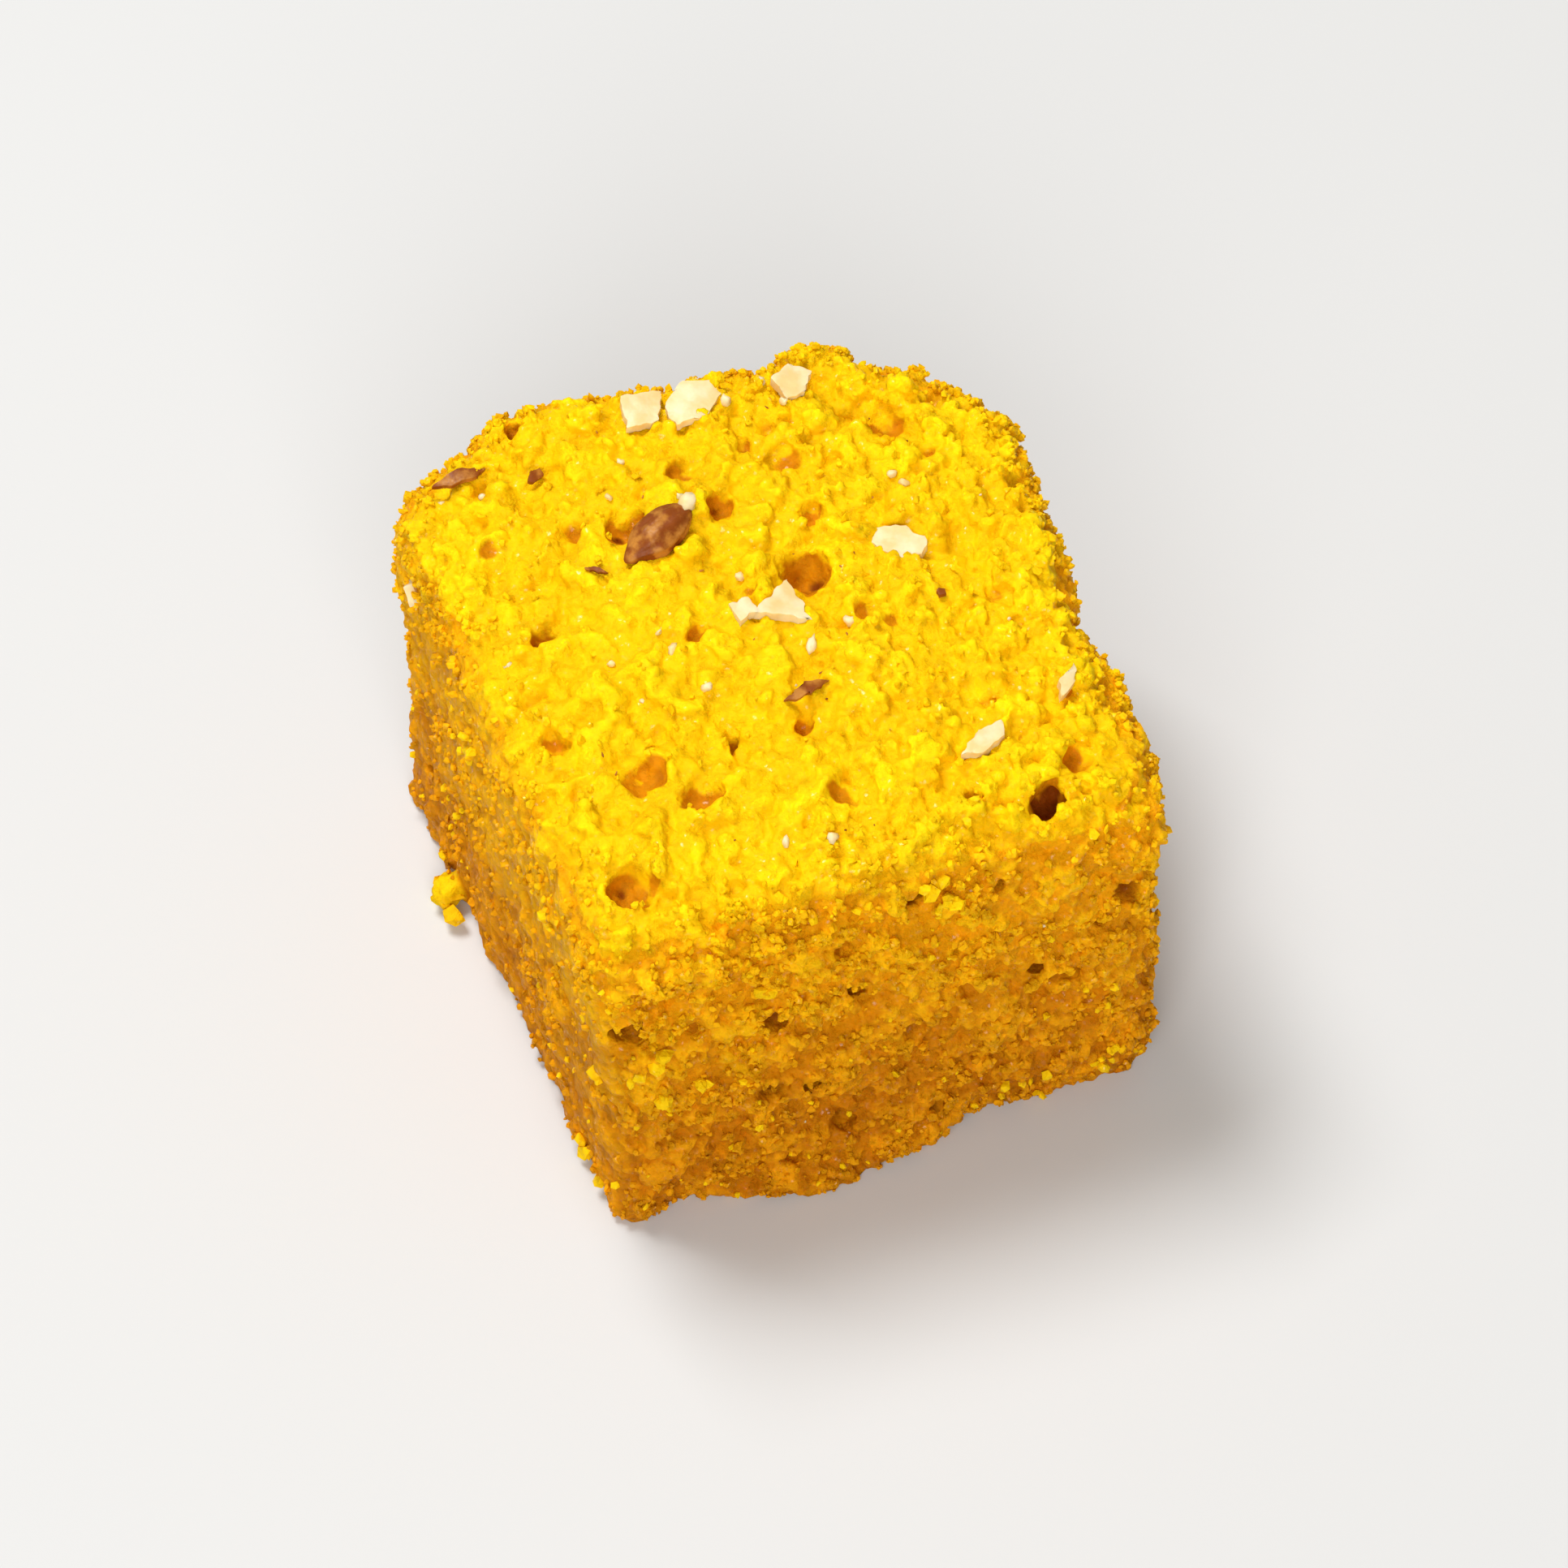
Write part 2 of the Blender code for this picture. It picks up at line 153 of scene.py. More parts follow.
def random_turn(dice: random.Random) -> Matrix:
    """Make a turn about a random axis."""
    axis = Vector((dice.uniform(-1.0, 1.0), dice.uniform(-1.0, 1.0), dice.uniform(0.1, 1.0)))
    return Matrix.Rotation(dice.uniform(0.0, math.pi), 4, axis.normalized())


def link(name: str, mesh: bpy.types.Mesh) -> bpy.types.Object:
    """Put a mesh in the scene as an object.

    Args:
        name: the piece's name.
        mesh: its shape, in place.

    Returns:
        The object.
    """
    thing = bpy.data.objects.new(name, mesh)
    bpy.context.scene.collection.objects.link(thing)
    return thing


def discard(thing: bpy.types.Object) -> None:
    """Delete an object and its mesh.

    Args:
        thing: the object.
    """
    mesh = thing.data
    bpy.data.objects.remove(thing, do_unlink=True)
    bpy.data.meshes.remove(mesh)


def make_object(name: str, builder: bmesh.types.BMesh) -> bpy.types.Object:
    """Make a smooth-shaded object of a bmesh, and free the bmesh.

    Args:
        name: the piece's name.
        builder: its shape, in place.

    Returns:
        The object, linked to the scene.
    """
    mesh = bpy.data.meshes.new(name)
    builder.to_mesh(mesh)
    builder.free()
    mesh.shade_smooth()
    return link(name, mesh)


def settle(thing: bpy.types.Object) -> None:
    """Apply an object's modifiers to its mesh.

    Args:
        thing: the object, which keeps its name.
    """
    depsgraph = bpy.context.evaluated_depsgraph_get()
    old = thing.data
    thing.data = bpy.data.meshes.new_from_object(thing.evaluated_get(depsgraph))
    thing.modifiers.clear()
    bpy.data.meshes.remove(old)
    thing.data.name = thing.name


def surface_tree(mesh: bpy.types.Mesh) -> BVHTree:
    """Make a search tree of a mesh's surface."""
    corners = [vert.co for vert in mesh.vertices]
    return BVHTree.FromPolygons(corners, [face.vertices for face in mesh.polygons])


@dataclass(frozen=True)
class Swell:
    """A soft swell or dip of the hand-cut form."""

    centre: tuple[float, float, float]
    radius: float
    height: float


@dataclass
class CutForm:
    """The hand-cut form of the block, as the solid has it, with its driving dimensions."""

    height: float = 0.0339
    half_width: float = 0.0230
    half_depth: float = 0.0240
    base_corners: dict[str, tuple[float, float]] = field(default_factory=lambda: {
        "front_left": (-0.0197, -0.0258), "front_right": (0.0223, -0.0246),
        "back_right": (0.0246, 0.0231), "back_left": (-0.0248, 0.0226)})
    top_corners: dict[str, tuple[float, float]] = field(default_factory=lambda: {
        "front_left": (-0.0195, -0.0239), "front_right": (0.0245, -0.0244),
        "back_right": (0.0237, 0.0230), "back_left": (-0.0226, 0.0242)})
    upright_radius: dict[str, float] = field(default_factory=lambda: {
        "front_left": 0.0030, "front_right": 0.0032, "back_right": 0.0105, "back_left": 0.0054})
    rim_radius: float = 0.0032
    front_rim_radius: float = 0.0054
    crown: float = 0.0026
    crown_centre: float = 0.3
    back_bulge: float = 0.0025
    lump_spacing: float = 0.0075
    lump_height: float = 0.00065
    grain_spacing: float = 0.0036
    grain_height: float = 0.00045
    front_edge: tuple[tuple[float, float], ...] = (
        (-0.0190, 0.0000), (-0.0145, 0.0014), (-0.0100, -0.0006), (-0.0040, -0.0016), (0.0040, -0.0003),
        (0.0075, 0.0022), (0.0120, 0.0014), (0.0180, 0.0011), (0.0215, 0.0003))
    front_edge_rise: float = 0.0055
    base_clearance: float = 0.0001
    base_normal: float = -0.9
    middle: Vector = field(default_factory=lambda: Vector((-0.00031, -0.00009, 0.0)))
    swells: tuple[Swell, ...] = (
        Swell((-0.0136, 0.0245, 0.0335), 0.0048, 0.0014),
        Swell((0.0115, 0.0250, 0.0355), 0.0026, 0.0016),
        Swell((-0.0170, 0.0232, 0.0335), 0.0034, -0.0014),
        Swell((-0.0035, 0.0255, 0.0345), 0.0034, -0.0002),
        Swell((0.0045, 0.0265, 0.0345), 0.0034, -0.0012),
        Swell((0.0165, 0.0235, 0.0335), 0.0034, -0.0012),
        Swell((0.0198, 0.0185, 0.0330), 0.0022, -0.0014),
        Swell((0.0222, 0.0140, 0.0335), 0.0026, 0.0010),
        Swell((0.0235, -0.0060, 0.0325), 0.0045, -0.0007),
        Swell((0.0240, -0.0225, 0.0255), 0.0040, -0.0008),
        Swell((0.0050, 0.0035, 0.0364), 0.0050, -0.0012),
        Swell((0.0000, 0.0130, 0.0364), 0.0060, 0.0006),
        Swell((-0.0110, -0.0020, 0.0355), 0.0050, 0.0006),
        Swell((0.0170, 0.0080, 0.0350), 0.0050, 0.0006),
    )

    def broken_edge(self, across: float) -> float:
        """Say how far the lower edge of the front face stands back.

        Args:
            across: the place along X.

        Returns:
            The distance along +Y.
        """
        stations = self.front_edge
        if across <= stations[0][0]:
            return stations[0][1]
        for (low, value_low), (high, value_high) in zip(stations, stations[1:]):
            if across <= high:
                return value_low + (value_high - value_low) * smooth_step(low, high, across)
        return stations[-1][1]

    @staticmethod
    def round_corner(across: float, along: float, radius: float) -> tuple[float, float]:
        """Pull a point of a square corner onto the arc of the radius.

        Args:
            across: the point's first distance from the arc's centre.
            along: its second distance.
            radius: the arc's radius.

        Returns:
            The two distances of the point on the arc.
        """
        if across <= 0.0 or along <= 0.0:
            return across, along
        scale = min(max(across, along), radius) / math.hypot(across, along)
        return across * scale, along * scale

    def place(self, cage_point: Vector) -> Vector:
        """Turn a point of the cage into its place on the cut block.

        Args:
            cage_point: from -1 to 1 across and 0 to 1 up.

        Returns:
            The place, before relief.
        """
        x, y, z = cage_point.x * self.half_width, cage_point.y * self.half_depth, cage_point.z * self.height
        inset = min(self.half_width - abs(x), self.half_depth - abs(y))
        radius = self.upright_radius[("front_" if y < 0.0 else "back_") + ("left" if x < 0.0 else "right")]
        corner = (abs(x) - self.half_width + radius, abs(y) - self.half_depth + radius)
        across, along = self.round_corner(*corner, radius)
        x = math.copysign(self.half_width - radius + across, x)
        y = math.copysign(self.half_depth - radius + along, y)

        worn = smooth_step(0.5, 1.0, -y / self.half_depth)
        rim = self.rim_radius + (self.front_rim_radius - self.rim_radius) * worn
        outwards, upwards = rim - inset, z - self.height + rim
        if outwards > 0.0 and upwards > 0.0:
            rounded, upwards = self.round_corner(outwards, upwards, rim)
            x *= 1.0 - (outwards - rounded) / self.half_width
            y *= 1.0 - (outwards - rounded) / self.half_depth
            z = self.height - rim + upwards

        across, along, up = x / self.half_width, y / self.half_depth, z / self.height
        place = Vector((0.0, 0.0, z))
        for name, base in self.base_corners.items():
            top = self.top_corners[name]
            across_share = 1.0 + math.copysign(1.0, base[0]) * across
            along_share = 1.0 + math.copysign(1.0, base[1]) * along
            weight = across_share * along_share / 4.0
            place.x += weight * (base[0] * (1.0 - up) + top[0] * up)
            place.y += weight * (base[1] * (1.0 - up) + top[1] * up)

        crown_along = (along - self.crown_centre) / (1.0 + self.crown_centre)
        place.z += self.crown * (1.0 - across ** 2) * (1.0 - crown_along ** 2) * up ** 3
        place.y += self.back_bulge * (1.0 - across ** 2) * max(along, 0.0) ** 2 * up
        if along < 0.0:
            fade = (1.0 - smooth_step(0.0, self.front_edge_rise, z)) * smooth_step(-0.7, -1.0, along)
            place.y += self.broken_edge(place.x) * fade
        return place

    def relief(self, place: Vector) -> float:
        """Give the height of the lumps, grains, swells and dips that the solid has too.

        Args:
            place: a place on the surface.

        Returns:
            The height outwards.
        """
        height = self.lump_height * noise.noise(place / self.lump_spacing)
        height += self.grain_height * noise.noise(place / self.grain_spacing)
        for swell in self.swells:
            distance = (place - Vector(swell.centre)).length / swell.radius
            height += swell.height * math.exp(-distance * distance)
        return height

    def edge(self, place: Vector) -> float:
        """Say how near the edge a place on the top lies, from 0 in the middle to about 1."""
        return max(abs(place.x) / self.half_width, abs(place.y) / self.half_depth)

    def skin(self, cell: float, lumpy: bool) -> bmesh.types.BMesh:
        """Build the block's surface on a cube cage with cells of about one real size.

        Args:
            cell: the size of a cell.
            lumpy: whether the solid's relief is added.

        Returns:
            A closed bmesh with its base flat at zero.
        """
        builder = bmesh.new()
        bmesh.ops.create_cube(builder, size=2.0)
        bmesh.ops.scale(builder, vec=(1.0, 1.0, 0.5), verts=builder.verts)
        bmesh.ops.translate(builder, vec=(0.0, 0.0, 0.5), verts=builder.verts)
        for axis, length in enumerate((2.0 * self.half_width, 2.0 * self.half_depth, self.height)):
            edges = [edge for edge in builder.edges if abs((edge.verts[0].co - edge.verts[1].co)[axis]) > 0.5]
            bmesh.ops.subdivide_edges(builder, edges=edges, cuts=round(length / cell) - 1, use_grid_fill=True)
        for vert in builder.verts:
            vert.co = self.place(vert.co)
        builder.normal_update()
        if lumpy:
            for vert, normal in [(vert, vert.normal.copy()) for vert in builder.verts]:
                if vert.co.z < self.base_clearance:
                    flat = all(face.normal.z < self.base_normal for face in vert.link_faces)
                    normal = Vector() if flat else Vector((normal.x, normal.y, 0.0)).normalized()
                vert.co += self.relief(vert.co) * normal
        return builder


@dataclass(frozen=True)
class Grain:
    """A small body at its place: a crumb, a granule or a bubble."""

    place: Vector
    turning: Matrix
    size: tuple[float, float, float]


def grain_kinds(count: int, subdivisions: int, rough: float, seed: int) -> list[Shape]:
    """Shape a few kinds of irregular grain.

    Args:
        count: how many kinds.
        subdivisions: how fine the ball is that each starts from.
        rough: how far its corners move, as a share of its radius.
        seed: the seed of the random draws.

    Returns:
        For each kind, its corners and its triangles.
    """
    dice = random.Random(seed)
    kinds = []
    for _ in range(count):
        builder = bmesh.new()
        bmesh.ops.create_icosphere(builder, subdivisions=subdivisions, radius=1.0)
        offset = Vector([dice.uniform(-NOISE_REACH, NOISE_REACH) for _ in range(3)])
        for vert in builder.verts:
            vert.co *= 1.0 + rough * (noise.noise(vert.co * 1.7 + offset) + 0.6 * dice.uniform(-0.5, 0.5))
        corners = np.array([vert.co[:] for vert in builder.verts])
        triangles = np.array([[vert.index for vert in face.verts] for face in builder.faces])
        kinds.append((corners, triangles))
        builder.free()
    return kinds


def grains_mesh(name: str, grains: Sequence[Grain], kinds: Sequence[Shape]) -> bpy.types.Mesh:
    """Join many small bodies into one mesh.

    Args:
        name: the mesh's name.
        grains: where each lies.
        kinds: the shapes that they take in turn.

    Returns:
        The joined mesh.
    """
    corners, triangles, start = [], [], 0
    for index, grain in enumerate(grains):
        shape, faces = kinds[index % len(kinds)]
        turning = np.array(grain.turning.to_3x3())
        corners.append((shape * np.array(grain.size)) @ turning.T + np.array(grain.place))
        triangles.append(faces + start)
        start += len(shape)
    mesh = bpy.data.meshes.new(name)
    mesh.from_pydata(np.concatenate(corners).tolist(), [], np.concatenate(triangles).tolist())
    mesh.shade_smooth()
    return mesh


@dataclass
class Surroundings:
    """The smooth and the lumpy surface of the form, which the small pieces are set on."""

    form: CutForm
    solid_cell: float = 0.0024
    smooth_cell: float = 0.0012
    lowest: float = 0.0004
    left_calm: float = 0.36
    left_turn: Span = (0.3, 0.9)
    place_spread: float = 0.6

    def __post_init__(self) -> None:
        """Build both surfaces and their search trees."""
        lumpy = make_object("lumpy_guide", self.form.skin(self.solid_cell, lumpy=True))
        smooth = make_object("smooth_guide", self.form.skin(self.smooth_cell, lumpy=False))
        self.lumpy_tree = surface_tree(lumpy.data)
        self.smooth_tree = surface_tree(smooth.data)
        faces = [face for face in lumpy.data.polygons if face.center.z > self.lowest]
        self.centres = [face.center.copy() for face in faces]
        self.normals = [face.normal.copy() for face in faces]
        self.areas = [face.area for face in faces]
        discard(lumpy)
        discard(smooth)

    def meet(self, start: Vector, direction: Sequence[float]) -> tuple[Vector, Vector]:
        """Find where a ray from outside meets the lumpy surface, and the normal there."""
        place, normal, _, _ = self.lumpy_tree.ray_cast(start, Vector(direction))
        return place, normal

    def find(self, side: Side, first: float, second: float) -> tuple[Vector, Vector]:
        """Find a place on a face of the block by its two measures, and the normal there."""
        return self.meet(side.start(first, second), side.value)

    def crumbling(self, normal: Vector) -> float:
        """Give a factor up to 1 on how much a face crumbles: the left one was cut cleaner."""
        return 1.0 - (1.0 - self.left_calm) * smooth_step(*self.left_turn, -normal.x)

    @staticmethod
    def onto(tree: BVHTree, place: Vector, normal: Vector) -> Vector:
        """Move a place along its normal onto a finer surface, unless that surface is missed."""
        found, _, _, _ = tree.ray_cast(place + normal * ABOVE, -normal, 2.0 * ABOVE)
        return place if found is None else found

    def scatter(self, count: int, weight: Callable[[Vector, Vector], float],
                dice: random.Random) -> Iterator[tuple[Vector, Vector]]:
        """Draw places over the surface.

        Args:
            count: how many.
            weight: how likely a place is, from its position and normal.
            dice: the seeded source of random numbers.

        Yields:
            Each place on the surface and its normal.
        """
        rows = zip(self.centres, self.normals, self.areas)
        weights = [area * weight(centre, normal) * self.crumbling(normal) for centre, normal, area in rows]
        spread = self.solid_cell * self.place_spread
        for index in dice.choices(range(len(weights)), weights=weights, k=count):
            guess = self.centres[index] + Vector([dice.uniform(-spread, spread) for _ in range(3)])
            place, normal, _, _ = self.lumpy_tree.find_nearest(guess)
            yield place, normal


@dataclass
class OpenBubbles:
    """The open bubbles and crevices that are cut out of the block."""

    around: Surroundings
    mouth_depth: float = 0.45
    top_mouth_depth: float = 0.22
    seed: int = 7
    named: dict[Side, tuple[Spot, ...]] = field(default_factory=lambda: {
        Side.TOP: (
            (0.0006, 0.0108, 0.00119), (-0.0044, -0.0094, 0.00125), (0.0078, -0.0016, 0.00100),
            (0.0095, -0.0030, 0.00088), (0.0003, 0.0030, 0.00081), (0.0009, -0.0092, 0.00081),
            (0.0040, 0.0166, 0.00075), (0.0063, 0.0172, 0.00081), (0.0068, 0.0083, 0.00094),
            (0.0162, -0.0212, 0.00187), (-0.0151, 0.0046, 0.00112), (-0.0134, 0.0166, 0.00081),
            (-0.0045, 0.0001, 0.00088), (-0.0103, 0.0129, 0.00094), (0.0018, -0.0114, 0.00075),
            (0.0170, 0.0120, 0.00075), (0.0105, 0.0130, 0.00063)),
        Side.FRONT: (
            (-0.0169, 0.0230, 0.00150), (-0.0062, 0.0196, 0.00105), (0.0040, 0.0144, 0.00095),
            (0.0085, 0.0181, 0.00105), (-0.0031, 0.0094, 0.00080), (-0.0069, 0.0121, 0.00105),
            (0.0048, 0.0300, 0.00100), (0.0044, 0.0096, 0.00085), (-0.0117, 0.0283, 0.00070),
            (0.0136, 0.0177, 0.00070), (-0.0091, 0.0257, 0.00060), (-0.0095, 0.0314, 0.00050),
            (-0.0126, 0.0096, 0.00065), (-0.0178, 0.0094, 0.00080), (0.0100, 0.0081, 0.00070),
            (0.0076, 0.0233, 0.00060), (-0.0040, 0.0118, 0.00090), (0.0178, 0.0150, 0.00060)),
        Side.BACK: (
            (-0.0110, 0.0180, 0.00080), (0.0020, 0.0110, 0.00065), (0.0090, 0.0240, 0.00085),
            (-0.0030, 0.0270, 0.00060)),
        Side.LEFT: ((-0.0120, 0.0220, 0.00065), (0.0060, 0.0160, 0.00070), (0.0150, 0.0080, 0.00060)),
        Side.RIGHT: (
            (-0.0140, 0.0240, 0.00080), (-0.0020, 0.0130, 0.00075), (0.0090, 0.0210, 0.00065),
            (0.0050, 0.0070, 0.00060))})
    craters: tuple[Spot, ...] = (
        (-0.0114, -0.0100, 0.00192), (-0.0081, -0.0130, 0.00162), (-0.0069, 0.0114, 0.00150),
        (0.0050, 0.0038, 0.00204), (0.0063, 0.0138, 0.00138), (0.0019, -0.0164, 0.00144),
        (0.0144, -0.0109, 0.00126), (0.0190, -0.0178, 0.00120), (-0.0150, -0.0187, 0.00174),
        (-0.0170, -0.0050, 0.00108), (0.0180, -0.0020, 0.00108), (0.0110, -0.0190, 0.00132),
        (-0.0010, 0.0150, 0.00132), (0.0150, 0.0160, 0.00144), (-0.0165, 0.0130, 0.00120))
    crater_lift: float = 0.28
    small_on_top: int = 18
    small_top_radius: Span = (0.00034, 0.00062)
    small_on_sides: int = 150
    small_radius: Span = (0.00036, 0.00090)
    crevices: int = 90
    crevice_size: tuple[float, float, float] = (0.0013, 0.00050, 0.00085)
    crevice_scale: Span = (0.6, 1.25)
    crevice_tilt: float = 0.5
    side_limit: float = 0.5
    side_lowest: float = 0.002
    upright_limit: float = 0.4
    upright_lowest: float = 0.003
    out_of_round: Span = (0.85, 1.2)

    def grains(self, surface: BVHTree) -> list[Grain]:
        """Place every bubble and crevice.

        Args:
            surface: the surface that they open in.

        Returns:
            The bodies to cut away.
        """
        onto = self.around.onto
        dice = random.Random(self.seed)
        found = []
        for side, bubbles in self.named.items():
            sunk = self.top_mouth_depth if side is Side.TOP else self.mouth_depth
            for first, second, mouth in bubbles:
                place, normal = self.around.find(side, first, second)
                found.append(self.bubble(onto(surface, place, normal), normal, mouth, sunk, dice))
        for first, second, mouth in self.craters:
            place, normal = self.around.find(Side.TOP, first, second)
            found.append(self.bubble(onto(surface, place, normal), normal, mouth, -self.crater_lift, dice))
        for count, radius, weight in (
            (self.small_on_top, self.small_top_radius, lambda _, normal: max(normal.z - LYING, 0.0)),
            (self.small_on_sides, self.small_radius, self.on_sides),
        ):
            for place, normal in self.around.scatter(count, weight, dice):
                mouth = dice.uniform(*radius)
                found.append(self.bubble(onto(surface, place, normal), normal, mouth, self.mouth_depth, dice))
        for place, normal in self.around.scatter(self.crevices, self.on_uprights, dice):
            level = normal.cross(Vector((0.0, 0.0, 1.0))).normalized()
            turning = Matrix((level, level.cross(normal), normal)).transposed().to_4x4()
            tilt = Matrix.Rotation(dice.uniform(-self.crevice_tilt, self.crevice_tilt), 4, "Z")
            scale = dice.uniform(*self.crevice_scale)
            size = tuple(scale * value for value in self.crevice_size)
            found.append(Grain(onto(surface, place, normal), turning @ tilt, size))
        return found

    def on_sides(self, place: Vector, normal: Vector) -> float:
        """Weigh a place by whether it lies on the sides or the rim, clear of the base."""
        return float(normal.z < self.side_limit and place.z > self.side_lowest)

    def on_uprights(self, place: Vector, normal: Vector) -> float:
        """Weigh a place by whether it lies on the upright faces, clear of the base."""
        return float(normal.z < self.upright_limit and place.z > self.upright_lowest)

    def bubble(self, place: Vector, normal: Vector, mouth: float, sunk: float, dice: random.Random) -> Grain:
        """Size a round bubble so that its mouth has the radius asked for.

        Args:
            place: the middle of the mouth.
            normal: the surface's normal there.
            mouth: the mouth's radius.
            sunk: how deep its middle lies, as a share of its radius.
            dice: the seeded source of random numbers.

        Returns:
            The bubble, a little out of round.
        """
        radius = mouth / math.sqrt(1.0 - sunk ** 2)
        size = tuple(radius * dice.uniform(*self.out_of_round) for _ in range(3))
        return Grain(place - normal * radius * sunk, random_turn(dice), size)


@dataclass
class StuckCrumbs:
    """The crumbs that are grown together with the block, from its rim, edges and faces."""

    around: Surroundings
    surface: BVHTree
    seed: int = 8
    rim: int = 24
    base: int = 22
    faces: int = 10
    uprights: int = 16
    top: int = 16
    radius: Span = (0.00065, 0.00125)
    sink: float = 0.35
    rim_band: Span = (0.93, 0.99)
    base_band: Span = (0.02, 0.05)
    face_band: Span = (0.12, 0.85)
    upright_band: Span = (0.1, 0.9)
    step_scatter: float = 0.4
    upright_scatter: float = 0.003
    out_of_round: Span = (0.8, 1.2)
    top_reach: float = 0.85
    fallen: Spot = (-0.0242, 0.0084, 0.0014)
    small_bands: tuple[tuple[int, float, float], ...] = (
        (620, 0.84, 1.02), (260, 0.0, 0.07), (620, 0.07, 0.84))
    small_top: int = 170
    small_radius: Span = (0.00028, 0.00085)

    def crumb(self, place: Vector, normal: Vector, dice: random.Random, radius: tuple[float, float]) -> Grain:
        """Size a crumb and sink it in the surface, clear of what the block stands on.

        Args:
            place: where it sticks.
            normal: the surface's normal there.
            dice: the seeded source of random numbers.
            radius: the least and the greatest radius.

        Returns:
            The crumb.
        """
        reach = dice.uniform(*radius)
        size = tuple(reach * dice.uniform(*self.out_of_round) for _ in range(3))
        centre = self.around.onto(self.surface, place, normal) - normal * reach * self.sink
        centre.z = max(centre.z, max(size) + self.around.form.base_clearance)
        return Grain(centre, random_turn(dice), size)

    def large(self) -> list[Grain]:
        """Place the crumbs that the solid has too.

        Returns:
            The large crumbs.
        """
        dice = random.Random(self.seed)
        form = self.around.form
        found = []

        def stick(start: Vector, direction: Vector) -> None:
            """Stick one crumb where a ray meets the surface."""
            place, normal = self.around.meet(start, direction)
            if place is not None:
                found.append(self.crumb(place, normal, dice, self.radius))

        rows = ((self.rim, self.rim_band), (self.base, self.base_band), (self.faces, self.face_band))
        for count, band in rows:
            for step in range(count):
                angle = math.tau * (step + dice.uniform(-self.step_scatter, self.step_scatter)) / count
                outwards = Vector((math.cos(angle), math.sin(angle), 0.0))
                stick(outwards * FAR + Vector((0.0, 0.0, dice.uniform(*band) * form.height)), -outwards)
        corners = list(form.base_corners.values())
        for step in range(self.uprights):
            corner_x, corner_y = corners[step % len(corners)]
            aside = [dice.uniform(-self.upright_scatter, self.upright_scatter) for _ in range(2)]
            outwards = Vector((corner_x + aside[0], corner_y + aside[1], 0.0)).normalized()
            level = dice.uniform(*self.upright_band) * form.height
            stick(outwards * FAR + Vector((0.0, 0.0, level)), -outwards)
        for _ in range(self.top):
            across = dice.uniform(-self.top_reach, self.top_reach) * form.half_width
            along = dice.uniform(-self.top_reach, self.top_reach) * form.half_depth
            stick(Vector((across, along, FAR)), Vector(Side.TOP.value))
        x, y, reach = self.fallen
        resting = Vector((x, y, reach + form.base_clearance))
        found.append(Grain(resting, Matrix.Identity(4), (reach, reach, reach)))
        return found

    def small(self) -> list[Grain]:
        """Scatter the small crumbs, thickest along the rim and the base.

        Returns:
            The small crumbs.
        """
        dice = random.Random(self.seed + 1)
        height = self.around.form.height
        found = []
        for count, low, high in self.small_bands:
            def in_band(place: Vector, normal: Vector, low: float = low, high: float = high) -> float:
                """Weigh a place by whether it lies in the band, off the flat of the top."""
                return float(low <= place.z / height <= high and normal.z < FLAT)
            for place, normal in self.around.scatter(count, in_band, dice):
                found.append(self.crumb(place, normal, dice, self.small_radius))
        for place, normal in self.around.scatter(self.small_top, self.top_weight, dice):
            found.append(self.crumb(place, normal, dice, self.small_radius))
        return found

    def top_weight(self, place: Vector, normal: Vector) -> float:
        """Weigh a place on the top, more where the crumb is looser: to the right, the front and the edges.

        Args:
            place: the place.
            normal: its normal.

        Returns:
            The weight.
        """
        if normal.z < LYING:
            return 0.0
        edge = self.around.form.edge(place)
        return 0.25 + 1.6 * smooth_step(0.45, 0.95, edge) + 0.9 * smooth_step(0.0, 0.015, place.x)


@dataclass
class Dents:
    """The shallow round hollows of burst bubbles on the top, which meet in thin ridges."""

    around: Surroundings
    seed: int = 12
    count: int = 190
    radius: Span = (0.0007, 0.0018)
    depth_share: float = 0.42
    top_from: float = 0.7
    side_count: int = 150
    side_radius: Span = (0.0004, 0.0011)
    side_depth_share: float = 0.34
    depth_spread: Span = (0.6, 1.3)

    def __post_init__(self) -> None:
        """Place the hollows and build their search tree."""
        dice = random.Random(self.seed)
        self.hollows: list[tuple[Vector, float, float]] = []
        rules = (
            (self.count, self.radius, self.depth_share, lambda _, normal: max(normal.z - self.top_from, 0.0)),
            (self.side_count, self.side_radius, self.side_depth_share,
             lambda _, normal: float(normal.z < STANDING)),
        )
        for count, reach, share, weight in rules:
            for place, _ in self.around.scatter(count, weight, dice):
                radius = dice.uniform(*reach)
                self.hollows.append((place, radius, radius * share * dice.uniform(*self.depth_spread)))
        self.tree = KDTree(len(self.hollows))
        for index, (place, _, _) in enumerate(self.hollows):
            self.tree.insert(place, index)
        self.tree.balance()

    def depth(self, place: Vector) -> float:
        """Say how deep the hollows are at a place.

        Args:
            place: a place on the surface.

        Returns:
            The depth of the deepest hollow there.
        """
        deepest = 0.0
        for _, index, distance in self.tree.find_range(place, self.radius[1]):
            _, radius, depth = self.hollows[index]
            share = distance / radius
            if share < 1.0:
                deepest = max(deepest, depth * (1.0 - share * share))
        return deepest


